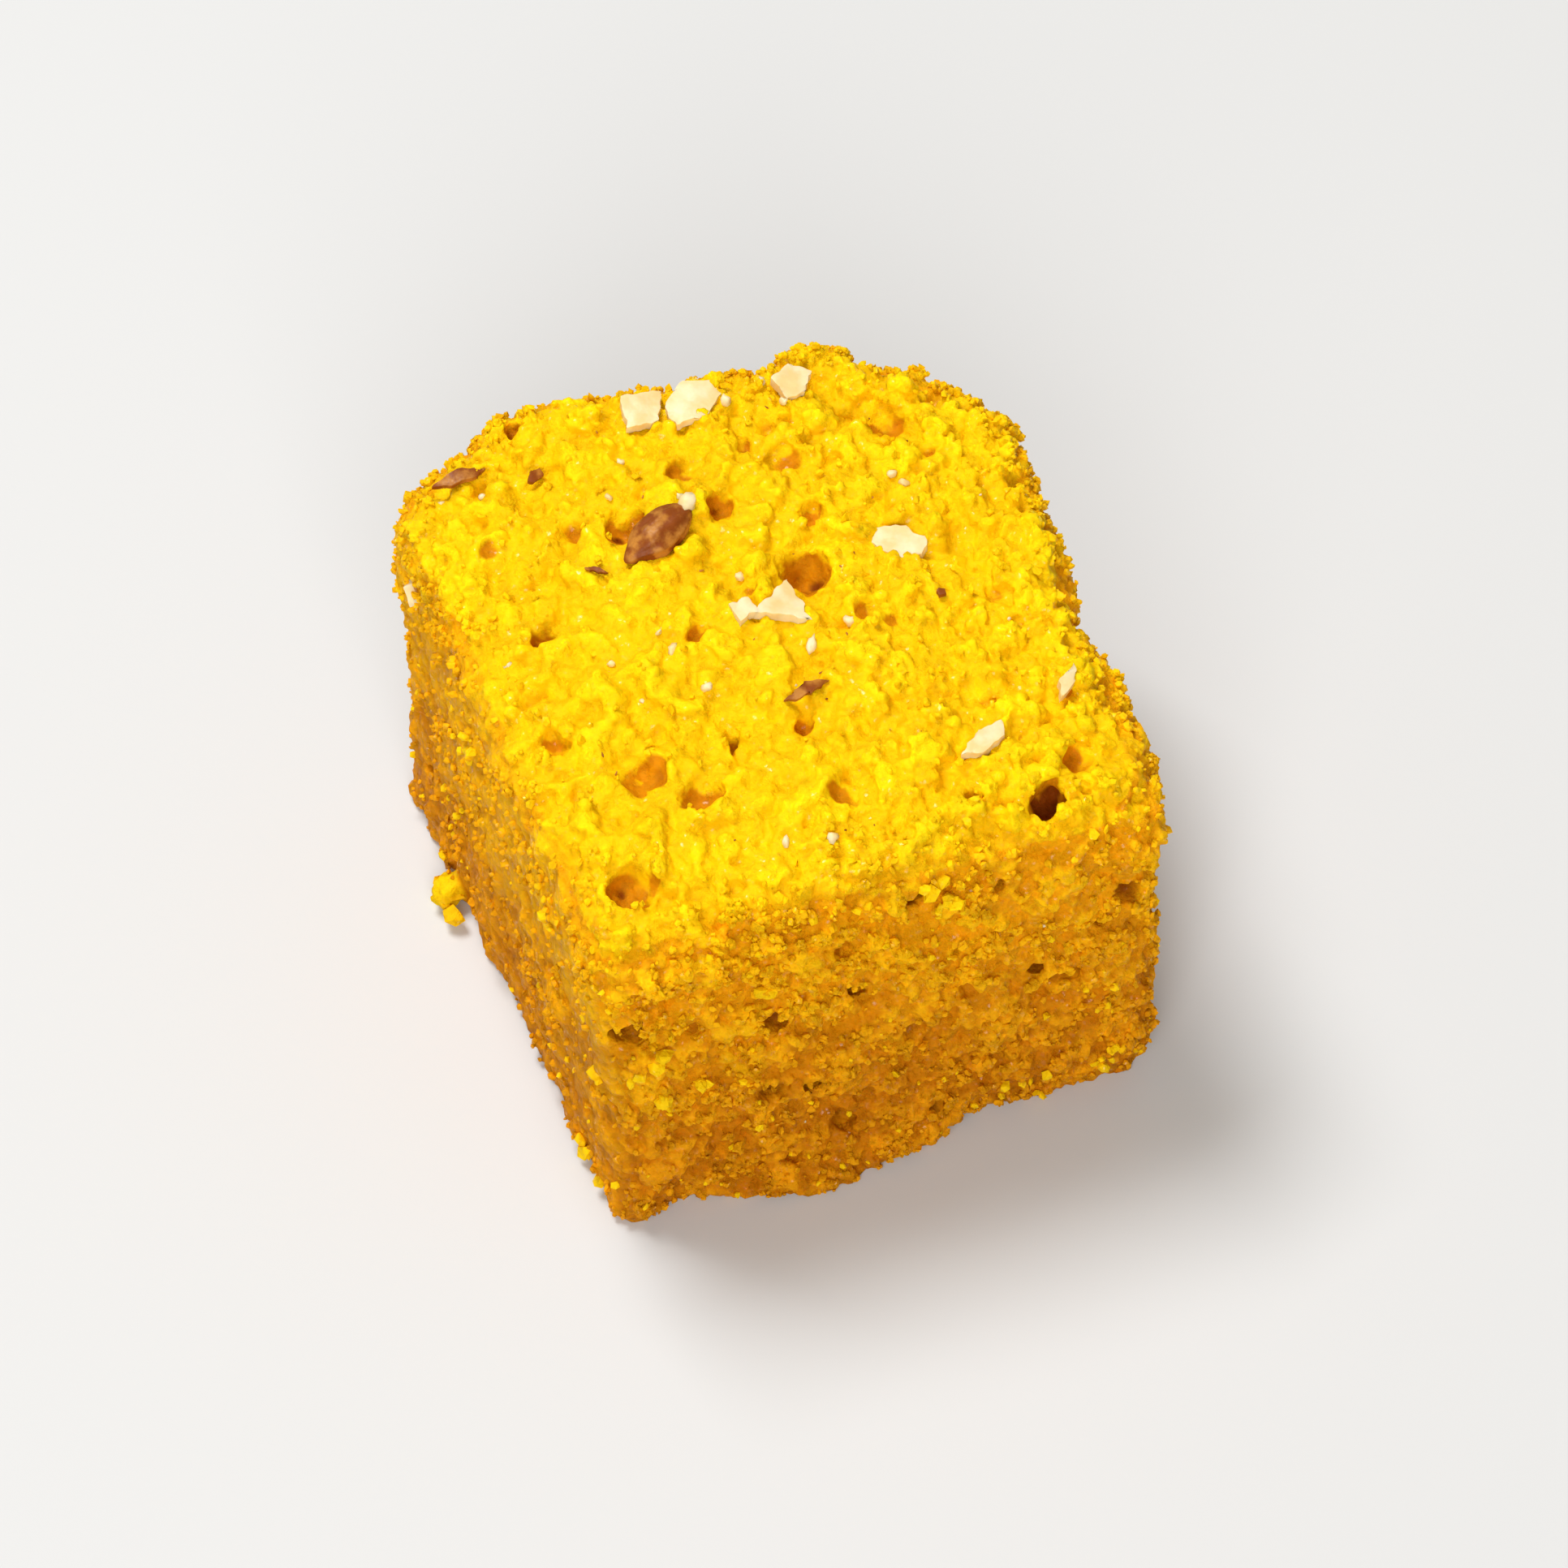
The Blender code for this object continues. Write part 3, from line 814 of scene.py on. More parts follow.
@dataclass(frozen=True)
class Cobbles:
    """Rounded lumps of one size with crevices between, and their outlines wavered."""

    size: float
    height: float
    crevice: float = 0.0
    crevice_width: float = 0.16
    waver: float = 0.45
    waver_size: float = 1.3
    middle: float = 0.38

    def at(self, place: Vector) -> float:
        """Give the height at a place, about zero on the average.

        Args:
            place: a place on the surface.

        Returns:
            The height outwards.
        """
        drift = noise.noise_vector(place / (self.waver_size * self.size)) * self.waver
        nearest, second = noise.voronoi(place / self.size + drift)[0][:2]
        gap = (second - nearest) / self.crevice_width
        return self.height * (self.middle - min(nearest, 1.0) ** 2) - self.crevice * math.exp(-gap * gap)


@dataclass
class Block:
    """The block of sweet, from its cut form down to its crumb."""

    around: Surroundings
    cell: float = 0.0006
    voxel: float = 0.00033
    most_triangles: int = 194000
    rough_voxel: float = 0.00040
    top_cups: tuple[Cobbles, ...] = (Cobbles(0.0038, 0.00130), Cobbles(0.0022, 0.00100))
    top_cobbles: tuple[Cobbles, ...] = (Cobbles(0.0030, 0.00060, 0.00080), Cobbles(0.0016, 0.00036, 0.00026))
    side_cobbles: tuple[Cobbles, ...] = (
        Cobbles(0.0048, 0.00080, 0.00040, 0.10), Cobbles(0.0024, 0.00056, 0.00040, 0.12),
        Cobbles(0.0013, 0.00044, 0.00020))
    cup_spacing: float = 0.0060
    cup_spread: float = 0.3
    fine_top: tuple[Cobbles, ...] = (Cobbles(0.0013, 0.00044, 0.00028), Cobbles(0.0008, 0.00024))
    fine_sides: tuple[Cobbles, ...] = (Cobbles(0.0012, 0.00034, 0.00024), Cobbles(0.0007, 0.00026))
    fine_spacing: float = 0.00045
    fine_height: float = 0.00012
    fallen_crumb: Vector = field(default_factory=lambda: Vector((-0.0246, 0.0084, 0.0015)))
    fallen_reach: Span = (0.0014, 0.0024)
    fallen_yellow: float = 0.8
    bubble_lip: Span = (0.0001, 0.0005)
    bubble_calm: float = 0.8
    base_flat: float = 0.00012
    relief_range: float = 0.00050
    loose_right: Span = (-0.004, 0.016)
    loose_edge: Span = (0.55, 0.95)
    loose_waver: float = 0.006
    loose_waver_size: float = 0.008
    loosest: float = 1.1

    def build(self) -> bpy.types.Object:
        """Model the block.

        Returns:
            The block, with what its colours need as attributes.
        """
        block = make_object("sweet_block", self.around.form.skin(self.cell, lumpy=True))
        self.ground = surface_tree(block.data)
        self.new_skin(block, self.rough_voxel)
        self.raise_lumps(block.data)
        self.surface = surface_tree(block.data)
        self.cut_bubbles(block)
        self.grow_crumbs(block)
        self.new_skin(block, self.voxel)
        self.roughen(block.data)
        self.flatten_base(block)
        block.data.transform(Matrix.Translation(-self.around.form.middle))
        block.data.shade_smooth()
        return block

    @staticmethod
    def new_skin(block: bpy.types.Object, voxel: float) -> None:
        """Give the block one skin of even cells.

        Args:
            block: the block.
            voxel: the size of a cell.
        """
        remesh = block.modifiers.new("one_skin", "REMESH")
        remesh.mode = "VOXEL"
        remesh.voxel_size = voxel
        settle(block)

    def topness(self, place: Vector) -> tuple[float, float]:
        """Give the share of the top at a place, and the factor on the relief there."""
        _, normal, _, _ = self.around.smooth_tree.find_nearest(place)
        return smooth_step(*TOP_SLOPE, normal.z), self.around.crumbling(normal)

    def raise_lumps(self, mesh: bpy.types.Mesh) -> None:
        """Raise the lumps and sink the hollows.

        Args:
            mesh: the block's mesh.
        """
        self.dents = Dents(self.around)
        moved = []
        for vert in mesh.vertices:
            place = vert.co.copy()
            if place.z > self.base_flat:
                place += vert.normal * self.lumps(place)
            moved.append(place)
        for vert, place in zip(mesh.vertices, moved):
            vert.co = (place.x, place.y, max(place.z, 0.0))

    def lumps(self, place: Vector) -> float:
        """Give the height of the lumps and hollows.

        Args:
            place: a place on the surface.

        Returns:
            The height outwards.
        """
        top, calm = self.topness(place)
        height = -self.dents.depth(place)
        if top > 0.0:
            cupped = smooth_step(-self.cup_spread, self.cup_spread, noise.noise(place / self.cup_spacing))
            height += top * (1.0 - 2.0 * cupped) * sum(cups.at(place) for cups in self.top_cups)
            height += top * sum(cobbles.at(place) for cobbles in self.top_cobbles)
        if top < 1.0:
            height += (1.0 - top) * calm * sum(cobbles.at(place) for cobbles in self.side_cobbles)
        return height

    def cut_bubbles(self, block: bpy.types.Object) -> None:
        """Cut the open bubbles out of the block.

        Args:
            block: the block.
        """
        cutters = bpy.data.collections.new("bubble_cutters")
        balls = grain_kinds(7, 3, 0.30, seed=3)
        for index, grain in enumerate(OpenBubbles(self.around).grains(self.surface)):
            mesh = grains_mesh(f"bubble_{index}", [grain], balls[index % len(balls):])
            cutters.objects.link(bpy.data.objects.new(mesh.name, mesh))
        boolean = block.modifiers.new("open_bubbles", "BOOLEAN")
        boolean.operation = "DIFFERENCE"
        boolean.operand_type = "COLLECTION"
        boolean.collection = cutters
        boolean.solver = "MANIFOLD"
        settle(block)
        for cutter in list(cutters.objects):
            discard(cutter)
        bpy.data.collections.remove(cutters)

    def grow_crumbs(self, block: bpy.types.Object) -> None:
        """Join the stuck crumbs to the block's mesh, for the new skin to fuse.

        Args:
            block: the block.
        """
        crumbs = StuckCrumbs(self.around, self.surface)
        joined = bmesh.new()
        joined.from_mesh(block.data)
        mesh = grains_mesh("stuck_crumbs", crumbs.large() + crumbs.small(), grain_kinds(9, 2, 0.38, seed=5))
        joined.from_mesh(mesh)
        joined.to_mesh(block.data)
        joined.free()
        bpy.data.meshes.remove(mesh)

    def roughen(self, mesh: bpy.types.Mesh) -> None:
        """Add the finest relief, and store what the colours need.

        Args:
            mesh: the block's mesh, with its last skin.
        """
        values: dict[str, list[float]] = {"rise": [], "top": [], "relief": []}
        moved = []
        for vert in mesh.vertices:
            place = vert.co.copy()
            if place.z < self.base_flat:
                moved.append(Vector((place.x, place.y, 0.0)))
                for row in values.values():
                    row.append(0.0)
                continue
            near, near_normal, _, _ = self.ground.find_nearest(place)
            top, calm = self.topness(near)
            lumps = self.lumps(near)
            rise = (place - near).dot(near_normal) - lumps
            fine = self.fine_height * noise.noise(place / self.fine_spacing)
            if top > 0.0:
                fine += top * self.looseness(near) * sum(cobbles.at(place) for cobbles in self.fine_top)
            if top < 1.0:
                fine += (1.0 - top) * calm * sum(cobbles.at(place) for cobbles in self.fine_sides)
            fine *= 1.0 - self.bubble_calm * smooth_step(*self.bubble_lip, -rise)
            moved.append(place + vert.normal * fine)
            # the colours read these: rise for the painted shade in the bubbles, top for the top's lemon, relief
            # for the painted shade in the creases
            values["rise"].append(rise / MM)
            fallen = 1.0 - smooth_step(*self.fallen_reach, (place - self.fallen_crumb).length)
            values["top"].append(max(top, self.fallen_yellow * fallen))
            values["relief"].append((lumps + fine) / self.relief_range)
        for vert, place in zip(mesh.vertices, moved):
            vert.co = (place.x, place.y, max(place.z, 0.0))
        for name, row in values.items():
            mesh.attributes.new(name, "FLOAT", "POINT").data.foreach_set("value", row)

    def looseness(self, place: Vector) -> float:
        """Say how loose the crumb of the top is: smooth in the middle and to the left, loose near the edges.

        Args:
            place: a place on the top.

        Returns:
            A factor on the finest relief.
        """
        edge = self.around.form.edge(place)
        waver = self.loose_waver * noise.noise(place / self.loose_waver_size)
        right = smooth_step(*self.loose_right, place.x + waver)
        return min(0.5 + 0.5 * right + 0.5 * smooth_step(*self.loose_edge, edge), self.loosest)

    def flatten_base(self, block: bpy.types.Object) -> None:
        """Merge the flat of the base into a few faces, and thin out the calmer parts of the skin.

        Args:
            block: the block.
        """
        builder = bmesh.new()
        builder.from_mesh(block.data)
        verts = [vert for vert in builder.verts if vert.co.z <= 0.0]
        edges = [edge for edge in builder.edges if all(vert.co.z <= 0.0 for vert in edge.verts)]
        bmesh.ops.dissolve_limit(builder, angle_limit=math.radians(1.0), verts=verts, edges=edges)
        bmesh.ops.triangulate(builder, faces=builder.faces)
        triangles = len(builder.faces)
        builder.to_mesh(block.data)
        builder.free()
        if triangles > self.most_triangles:
            thinner = block.modifiers.new("thinned_skin", "DECIMATE")
            thinner.ratio = self.most_triangles / triangles
            settle(block)


@dataclass
class Heap:
    """Crumbs for one mesh, each with its share of the top's colour and how proud it stands, which sets its
    painted shade.
    """

    grains: list[Grain] = field(default_factory=list)
    tops: list[float] = field(default_factory=list)
    reliefs: list[float] = field(default_factory=list)
    bright_size: Span = (0.7, 1.2)
    bright_top: Span = (0.6, 1.0)
    bright_relief: Span = (0.2, 0.8)

    def add(self, grain: Grain, top: float, relief: float) -> None:
        """Add one crumb.

        Args:
            grain: the crumb.
            top: its share of the top's colour.
            relief: how proud it stands.
        """
        self.grains.append(grain)
        self.tops.append(top)
        self.reliefs.append(relief)

    def add_bright(self, centre: Vector, reach: float, dice: random.Random) -> None:
        """Add one bright crumb.

        Args:
            centre: its middle.
            reach: its radius.
            dice: the seeded source of random numbers.
        """
        size = tuple(reach * dice.uniform(*self.bright_size) for _ in range(3))
        grain = Grain(centre, random_turn(dice), size)
        self.add(grain, dice.uniform(*self.bright_top), dice.uniform(*self.bright_relief))

    def mesh(self, name: str, kinds: Sequence[Shape]) -> bpy.types.Mesh:
        """Join the crumbs, and store what their colours need.

        Args:
            name: the mesh's name.
            kinds: the shapes that they take in turn.

        Returns:
            The flat-shaded mesh.
        """
        mesh = grains_mesh(name, self.grains, kinds)
        rows = (("rise", [0.0] * len(self.grains)), ("top", self.tops), ("relief", self.reliefs))
        for label, values in rows:
            spread = np.repeat(np.array(values), len(kinds[0][0]))
            mesh.attributes.new(label, "FLOAT", "POINT").data.foreach_set("value", spread)
        mesh.shade_flat()
        return mesh


@dataclass
class LooseCrumb:
    """The finest crumb, which clings to the faces and breaks up the outline."""

    around: Surroundings
    seed: int = 21
    sides: int = 6900
    rim: int = 2300
    top: int = 300
    radius: Span = (0.00011, 0.00036)
    sink: float = 0.3
    clump_spacing: float = 0.0042
    yellow_share: float = 0.07
    clumps: tuple[tuple[Side, float, float, float, int, float], ...] = (
        (Side.FRONT, -0.0157, 0.0202, 0.0004, 3, 0.00075), (Side.FRONT, -0.0170, 0.0196, 0.0005, 3, 0.00060),
        (Side.FRONT, -0.0196, 0.0155, 0.0003, 2, 0.00085), (Side.FRONT, -0.0158, 0.0157, 0.0004, 3, 0.00070),
        (Side.FRONT, -0.0066, 0.0242, 0.0005, 4, 0.00070), (Side.FRONT, -0.0192, 0.0022, 0.0008, 6, 0.00070),
        (Side.FRONT, -0.0124, 0.0164, 0.0004, 3, 0.00055), (Side.FRONT, 0.0063, 0.0296, 0.0008, 8, 0.00075),
        (Side.FRONT, 0.0120, 0.0040, 0.0012, 6, 0.00055), (Side.FRONT, 0.0195, 0.0060, 0.0010, 6, 0.00060),
        (Side.LEFT, 0.0040, 0.0240, 0.0009, 5, 0.00055), (Side.LEFT, -0.0130, 0.0260, 0.0012, 5, 0.00050),
        (Side.RIGHT, 0.0080, 0.0260, 0.0010, 6, 0.00060), (Side.RIGHT, -0.0110, 0.0100, 0.0010, 6, 0.00060),
        (Side.BACK, -0.0090, 0.0230, 0.0010, 6, 0.00060), (Side.BACK, 0.0100, 0.0080, 0.0010, 6, 0.00060))
    fallen: Spot = (-0.0247, 0.0081, 0.0011)
    fallen_pieces: int = 9
    fallen_spread: Span = (0.0006, 0.0008)
    fallen_size: Span = (0.4, 0.85)
    fallen_lift: Span = (1.2, 1.7)
    fallen_limit: float = -0.0245
    second_draw: float = 1.2
    out_of_round: Span = (0.7, 1.35)
    proud: Span = (-0.2, 0.7)
    clump_size: Span = (0.45, 1.0)
    clump_edge: Span = (-0.15, 0.45)
    clump_least: float = 0.25
    rim_from: float = 0.8
    top_middle: Span = (0.0, 0.02)
    top_least: float = 0.3
    bright: float = 0.85
    lowest: float = 0.001
    above: float = 0.0006
    floor_gap: float = 1.7

    def build(self, block: bpy.types.Object) -> bpy.types.Object:
        """Scatter the crumb over the finished block.

        Args:
            block: the block that it clings to.

        Returns:
            The crumb, as one piece.
        """
        dice = random.Random(self.seed)
        heap = Heap()
        self.skin = surface_tree(block.data)
        kinds = grain_kinds(8, 1, 0.6, seed=9)
        rules = ((self.sides, self.on_sides), (self.rim, self.on_rim), (self.top, self.on_top))
        for count, weight in rules:
            for place, normal in self.around.scatter(count, weight, dice):
                reach = min(dice.uniform(*self.radius), dice.uniform(*self.radius) * self.second_draw)
                centre = self.rest(place, normal, reach)
                size = tuple(reach * dice.uniform(*self.out_of_round) for _ in range(3))
                turning = random_turn(dice)
                yellow = self.bright if dice.random() < self.yellow_share else 0.0
                # crumbs that face up take the top's lemon, as on the block; the proudness drawn for each crumb
                # sets its painted shade
                top = max(smooth_step(*TOP_SLOPE, normal.z), yellow)
                heap.add(Grain(centre, turning, size), top, dice.uniform(*self.proud))
        for side, first, second, spread, count, most in self.clumps:
            for _ in range(count):
                along = first + dice.gauss(0.0, spread)
                up = max(second + dice.gauss(0.0, spread), self.lowest)
                place, normal = self.around.find(side, along, up)
                reach = most * dice.uniform(*self.clump_size)
                heap.add_bright(self.rest(place, normal, reach), reach, dice)
        x, y, reach = self.fallen
        for _ in range(self.fallen_pieces):
            aside, along = (dice.gauss(0.0, spread) for spread in self.fallen_spread)
            spot = Vector((x + aside, y + along, 0.0)) - self.around.form.middle
            size = reach * dice.uniform(*self.fallen_size)
            spot.x = max(spot.x, self.fallen_limit)
            spot.z = size * dice.uniform(*self.fallen_lift)
            heap.add_bright(spot, size, dice)
        return link("loose_crumb", heap.mesh("loose_crumb", kinds))

    def rest(self, place: Vector, normal: Vector, reach: float) -> Vector:
        """Find where the middle of a crumb comes when it clings to the finished block.

        Args:
            place: a place on the lumpy surface.
            normal: the normal there.
            reach: the crumb's radius.

        Returns:
            The middle, clear of the floor.
        """
        guess = place + normal * self.above - self.around.form.middle
        near, near_normal, _, _ = self.skin.find_nearest(guess)
        centre = near + near_normal * reach * self.sink
        centre.z = max(centre.z, reach * self.floor_gap)
        return centre

    def on_sides(self, place: Vector, normal: Vector) -> float:
        """Weigh a place on the sides and the rim."""
        return float(normal.z < STANDING) * self.clumped(place)

    def on_rim(self, place: Vector, normal: Vector) -> float:
        """Weigh a place in the highest part, off the flat of the top."""
        high = place.z > self.rim_from * self.around.form.height
        return float(normal.z < FLAT and high) * self.clumped(place)

    def on_top(self, place: Vector, normal: Vector) -> float:
        """Weigh a place on the top, more towards the left and right."""
        return float(normal.z >= LYING) * (self.top_least + smooth_step(*self.top_middle, abs(place.x)))

    def clumped(self, place: Vector) -> float:
        """Weigh a place so that the crumb gathers in clumps."""
        clump = noise.noise(place / self.clump_spacing)
        return self.clump_least + 2.0 * smooth_step(*self.clump_edge, clump)


@dataclass(frozen=True)
class FlakeSize:
    """A broken almond flake: its place on the top, its size, its corners and how it lies, in degrees."""

    name: str
    x: float
    y: float
    length: float
    width: float
    corners: int
    turn: float
    tilt: float


@dataclass
class AlmondFlakes:
    """The thin broken slices of blanched almond."""

    around: Surroundings
    surface: BVHTree
    thickness: float = 0.0008
    show: float = 0.00045
    grid: int = 18
    ragged: float = 0.00013
    ragged_size: float = 0.7 * MM
    ragged_rim: float = 2.2
    corner_reach: Span = (0.78, 1.18)
    slice_reach: float = 0.6
    crisp_angle: float = 50.0
    tread_reach: float = 0.3
    bow: float = 0.05
    side_from: float = 0.0218
    side_height: float = 0.0292
    flakes: tuple[FlakeSize, ...] = (
        FlakeSize("square flake", -0.0027, 0.0209, 0.0044, 0.0036, 4, 38, 8),
        FlakeSize("long flake", 0.0013, 0.0208, 0.0056, 0.0036, 6, 22, 6),
        FlakeSize("white chip", 0.0024, 0.0005, 0.0050, 0.0044, 3, 98, 8),
        FlakeSize("small chip", -0.0007, 0.0006, 0.0026, 0.0021, 4, 60, 6),
        FlakeSize("back chip", 0.0090, 0.0207, 0.0042, 0.0030, 5, 70, 8),
        FlakeSize("pale flake", 0.0125, 0.0042, 0.0054, 0.0032, 6, -35, 2),
        FlakeSize("edge flake", 0.0129, -0.0152, 0.0044, 0.0020, 5, 30, 4),
        FlakeSize("left shard", -0.0222, 0.0160, 0.0030, 0.0016, 3, 75, 60),
        FlakeSize("right sliver", 0.0200, -0.0118, 0.0034, 0.0009, 4, 55, 12),
    )

    def build(self, size: FlakeSize) -> bpy.types.Object:
        """Break a flake out of a thin slice and set it on the block.

        Args:
            size: which flake.

        Returns:
            The flake.
        """
        dice = random.Random(size.name)
        corners = []
        for index in range(size.corners):
            angle = math.tau * index / size.corners
            reach = 0.5 * dice.uniform(*self.corner_reach)
            corners.append(Vector((-math.sin(angle) * reach, math.cos(angle) * reach, 0.0)))
        builder = bmesh.new()
        bmesh.ops.create_grid(builder, x_segments=self.grid, y_segments=self.grid, size=self.slice_reach)
        for start, end in zip(corners, corners[1:] + corners[:1]):
            outwards = Vector((end.y - start.y, start.x - end.x, 0.0))
            if outwards.dot(start) < 0.0:
                outwards.negate()
            geometry = builder.verts[:] + builder.edges[:] + builder.faces[:]
            bmesh.ops.bisect_plane(
                builder, geom=geometry, plane_co=start, plane_no=outwards, clear_outer=True)
        bmesh.ops.scale(builder, vec=(size.length, size.width, 1.0), verts=builder.verts)
        offset = Vector((dice.uniform(0.0, 9.0), dice.uniform(0.0, 9.0), 0.0))
        for vert in builder.verts:
            drift = noise.noise_vector(vert.co / self.ragged_size + offset)
            if vert.is_boundary:
                vert.co += Vector((drift.x, drift.y, 0.0)) * self.ragged * self.ragged_rim
            across = vert.co.x / size.length
            vert.co.z = -self.bow * size.length * (4.0 * across * across - 0.5) + drift.z * self.ragged * 0.5
        grown = bmesh.ops.extrude_face_region(builder, geom=builder.faces[:])["geom"]
        upper = [item for item in grown if isinstance(item, bmesh.types.BMVert)]
        bmesh.ops.translate(builder, vec=(0.0, 0.0, self.thickness), verts=upper)
        bmesh.ops.recalc_face_normals(builder, faces=builder.faces)
        self.place(builder, size)
        flake = make_object("almond_" + size.name.replace(" ", "_"), builder)
        flake.data.set_sharp_from_angle(angle=math.radians(self.crisp_angle))
        return flake

    def place(self, builder: bmesh.types.BMesh, size: FlakeSize) -> None:
        """Lay a flake where the solid has it.

        Args:
            builder: the flake, flat about the origin.
            size: which flake.
        """
        lowest = min(vert.co.z for vert in builder.verts)
        highest = max(vert.co.z for vert in builder.verts)
        bmesh.ops.translate(builder, vec=(0.0, 0.0, -(lowest + highest) / 2.0), verts=builder.verts)
        start, direction = Vector((size.x, size.y, FAR)), Vector(Side.TOP.value)
        if abs(size.x) > self.side_from:
            start = Vector((math.copysign(FAR, size.x), size.y, self.side_height))
            direction = Vector((-math.copysign(1.0, size.x), 0.0, 0.0))
        place, normal = self.around.meet(start, direction)
        turning = Matrix.Rotation(math.radians(size.turn), 4, "Z")
        turning @= Matrix.Rotation(math.radians(size.tilt), 4, "X")
        long, wide = self.tread_reach * size.length, self.tread_reach * size.width
        steps = [Vector((long * u, wide * v, 0.0)) for u, v in TREAD]
        tread = [place + turning @ step for step in steps]
        lifts = [(self.around.onto(self.surface, spot, normal) - spot).dot(normal) for spot in tread]
        lift = (sum(lifts) / len(lifts) + 2.0 * max(lifts)) / 3.0
        centre = place + normal * (lift + self.show - self.thickness / 2.0) - self.around.form.middle
        bmesh.ops.transform(builder, matrix=Matrix.Translation(centre) @ turning, verts=builder.verts)


@dataclass
class AlmondSkins(AlmondFlakes):
    """The thin brown slivers of almond skin."""

    thickness: float = 0.00045
    show: float = 0.00055
    grid: int = 12
    bow: float = 0.12
    flakes: tuple[FlakeSize, ...] = (
        FlakeSize("skin strip", -0.0169, 0.0207, 0.0046, 0.0011, 5, 6, 10),
        FlakeSize("skin sliver", 0.0017, -0.0074, 0.0040, 0.0010, 4, 14, 18),
        FlakeSize("skin curl", -0.0118, 0.0190, 0.0016, 0.0009, 5, 35, 25),
        FlakeSize("skin thread", -0.0097, 0.0076, 0.0021, 0.0006, 4, -36, 20),
        FlakeSize("skin speck", 0.0138, -0.0015, 0.0009, 0.0008, 5, 10, 10),
    )


@dataclass
class AlmondNub:
    """The broken tip of an almond with its brown skin, half sunk in the top."""

    around: Surroundings
    surface: BVHTree
    x: float = -0.0048
    y: float = 0.0093
    half_length: float = 0.0033
    half_width: float = 0.0017
    half_height: float = 0.0014
    turn: float = 27.0
    tilt: float = -6.0
    lift: float = 0.0006
    ribs: int = 9
    rib_depth: float = 0.035
    tip_taper: float = 0.42
    tip: Span = (-0.2, -1.0)
    end_taper: float = 0.12
    end: Span = (0.3, 1.0)
    dimples: float = 0.05
    dimple_rate: float = 2.3
    rib_waver_rate: float = 1.5

    def build(self) -> bpy.types.Object:
        """Model the nub.

        Returns:
            The nub.
        """
        builder = bmesh.new()
        bmesh.ops.create_icosphere(builder, subdivisions=5, radius=1.0)
        for vert in builder.verts:
            along, around_angle = vert.co.x, math.atan2(vert.co.z, vert.co.y)
            taper = 1.0 - self.tip_taper * smooth_step(*self.tip, along)
            taper -= self.end_taper * smooth_step(*self.end, along)
            wander = 2.0 * noise.noise(vert.co * self.rib_waver_rate)
            rib = 1.0 + self.rib_depth * math.cos(self.ribs * around_angle + wander)
            dimple = self.dimples * noise.noise(vert.co * self.dimple_rate)
            vert.co.y *= taper * (rib + dimple)
            vert.co.z *= taper * (rib + dimple)
        size = Matrix.Diagonal((self.half_length, self.half_width, self.half_height, 1.0))
        place, normal = self.around.find(Side.TOP, self.x, self.y)
        place = self.around.onto(self.surface, place, normal) + normal * self.lift
        turning = Matrix.Rotation(math.radians(self.turn), 4, "Z")
        turning @= Matrix.Rotation(math.radians(self.tilt), 4, "Y")
        matrix = Matrix.Translation(place - self.around.form.middle) @ turning @ size
        bmesh.ops.transform(builder, matrix=matrix, verts=builder.verts)
        return make_object("almond_nub", builder)


@dataclass
class AlmondGranules:
    """The small cream granules of chopped almond."""

    around: Surroundings
    surface: BVHTree
    name: str = "almond_granules"
    seed: int = 31
    slenderness: float = 1.0
    lengths: Span = (0.9, 1.4)
    widths: Span = (0.7, 1.0)
    heights: Span = (0.6, 0.9)
    lift: float = 0.25
    scattered_size: Span = (0.5, 0.9)
    least_height: float = 0.006
    reach: Span = (0.00022, 0.00052)
    places: tuple[Spot, ...] = (
        (-0.0055, 0.0176, 0.5), (-0.0159, 0.0191, 0.4), (-0.0072, 0.0144, 0.4), (-0.0189, 0.0199, 0.4),
        (-0.0065, -0.0007, 0.6), (-0.0071, 0.0011, 0.3), (-0.0182, 0.0032, 0.5), (-0.0111, 0.0001, 0.3),
        (-0.0051, -0.0048, 0.8), (-0.0098, -0.0041, 0.3), (0.0002, 0.0044, 0.6), (-0.0034, -0.0189, 0.7),
        (-0.0020, 0.0109, 1.6), (-0.0002, -0.0198, 0.8), (0.0032, -0.0035, 1.0), (0.0067, -0.0018, 0.9),
        (0.0143, 0.0094, 0.7),
        (0.0068, 0.0216, 0.8), (0.0078, 0.0190, 0.5), (0.0036, 0.0200, 0.9), (-0.0022, 0.0118, 0.8),
        (0.0135, 0.0100, 0.6), (0.0092, -0.0236, 0.5))
    scattered: int = 14

    def build(self) -> bpy.types.Object:
        """Place the granules.

        Returns:
            The granules, as one piece.
        """
        dice = random.Random(self.seed)
        grains = []
        for x, y, share in self.places:
            place, normal = self.around.find(Side.TOP, x, y)
            reach = self.reach[0] + share * (self.reach[1] - self.reach[0])
            grains.append(self.granule(place, normal, reach, dice))
        for place, normal in self.around.scatter(self.scattered, self.high_enough, dice):
            grains.append(self.granule(place, normal, self.reach[0] * dice.uniform(*self.scattered_size), dice))
        return link(self.name, grains_mesh(self.name, grains, grain_kinds(6, 2, 0.45, seed=13)))

    def high_enough(self, place: Vector, _: Vector) -> float:
        """Weigh a place by whether it lies high enough."""
        return float(place.z > self.least_height)

    def granule(self, place: Vector, normal: Vector, reach: float, dice: random.Random) -> Grain:
        """Size a granule and set it in the surface.

        Args:
            place: where it lies.
            normal: the surface's normal there.
            reach: its radius.
            dice: the seeded source of random numbers.

        Returns:
            The granule.
        """
        length = reach * dice.uniform(*self.lengths) * dice.uniform(1.0, self.slenderness)
        size = (length, reach * dice.uniform(*self.widths), reach * dice.uniform(*self.heights))
        centre = self.around.onto(self.surface, place, normal) + normal * reach * self.lift
        return Grain(centre - self.around.form.middle, random_turn(dice), size)


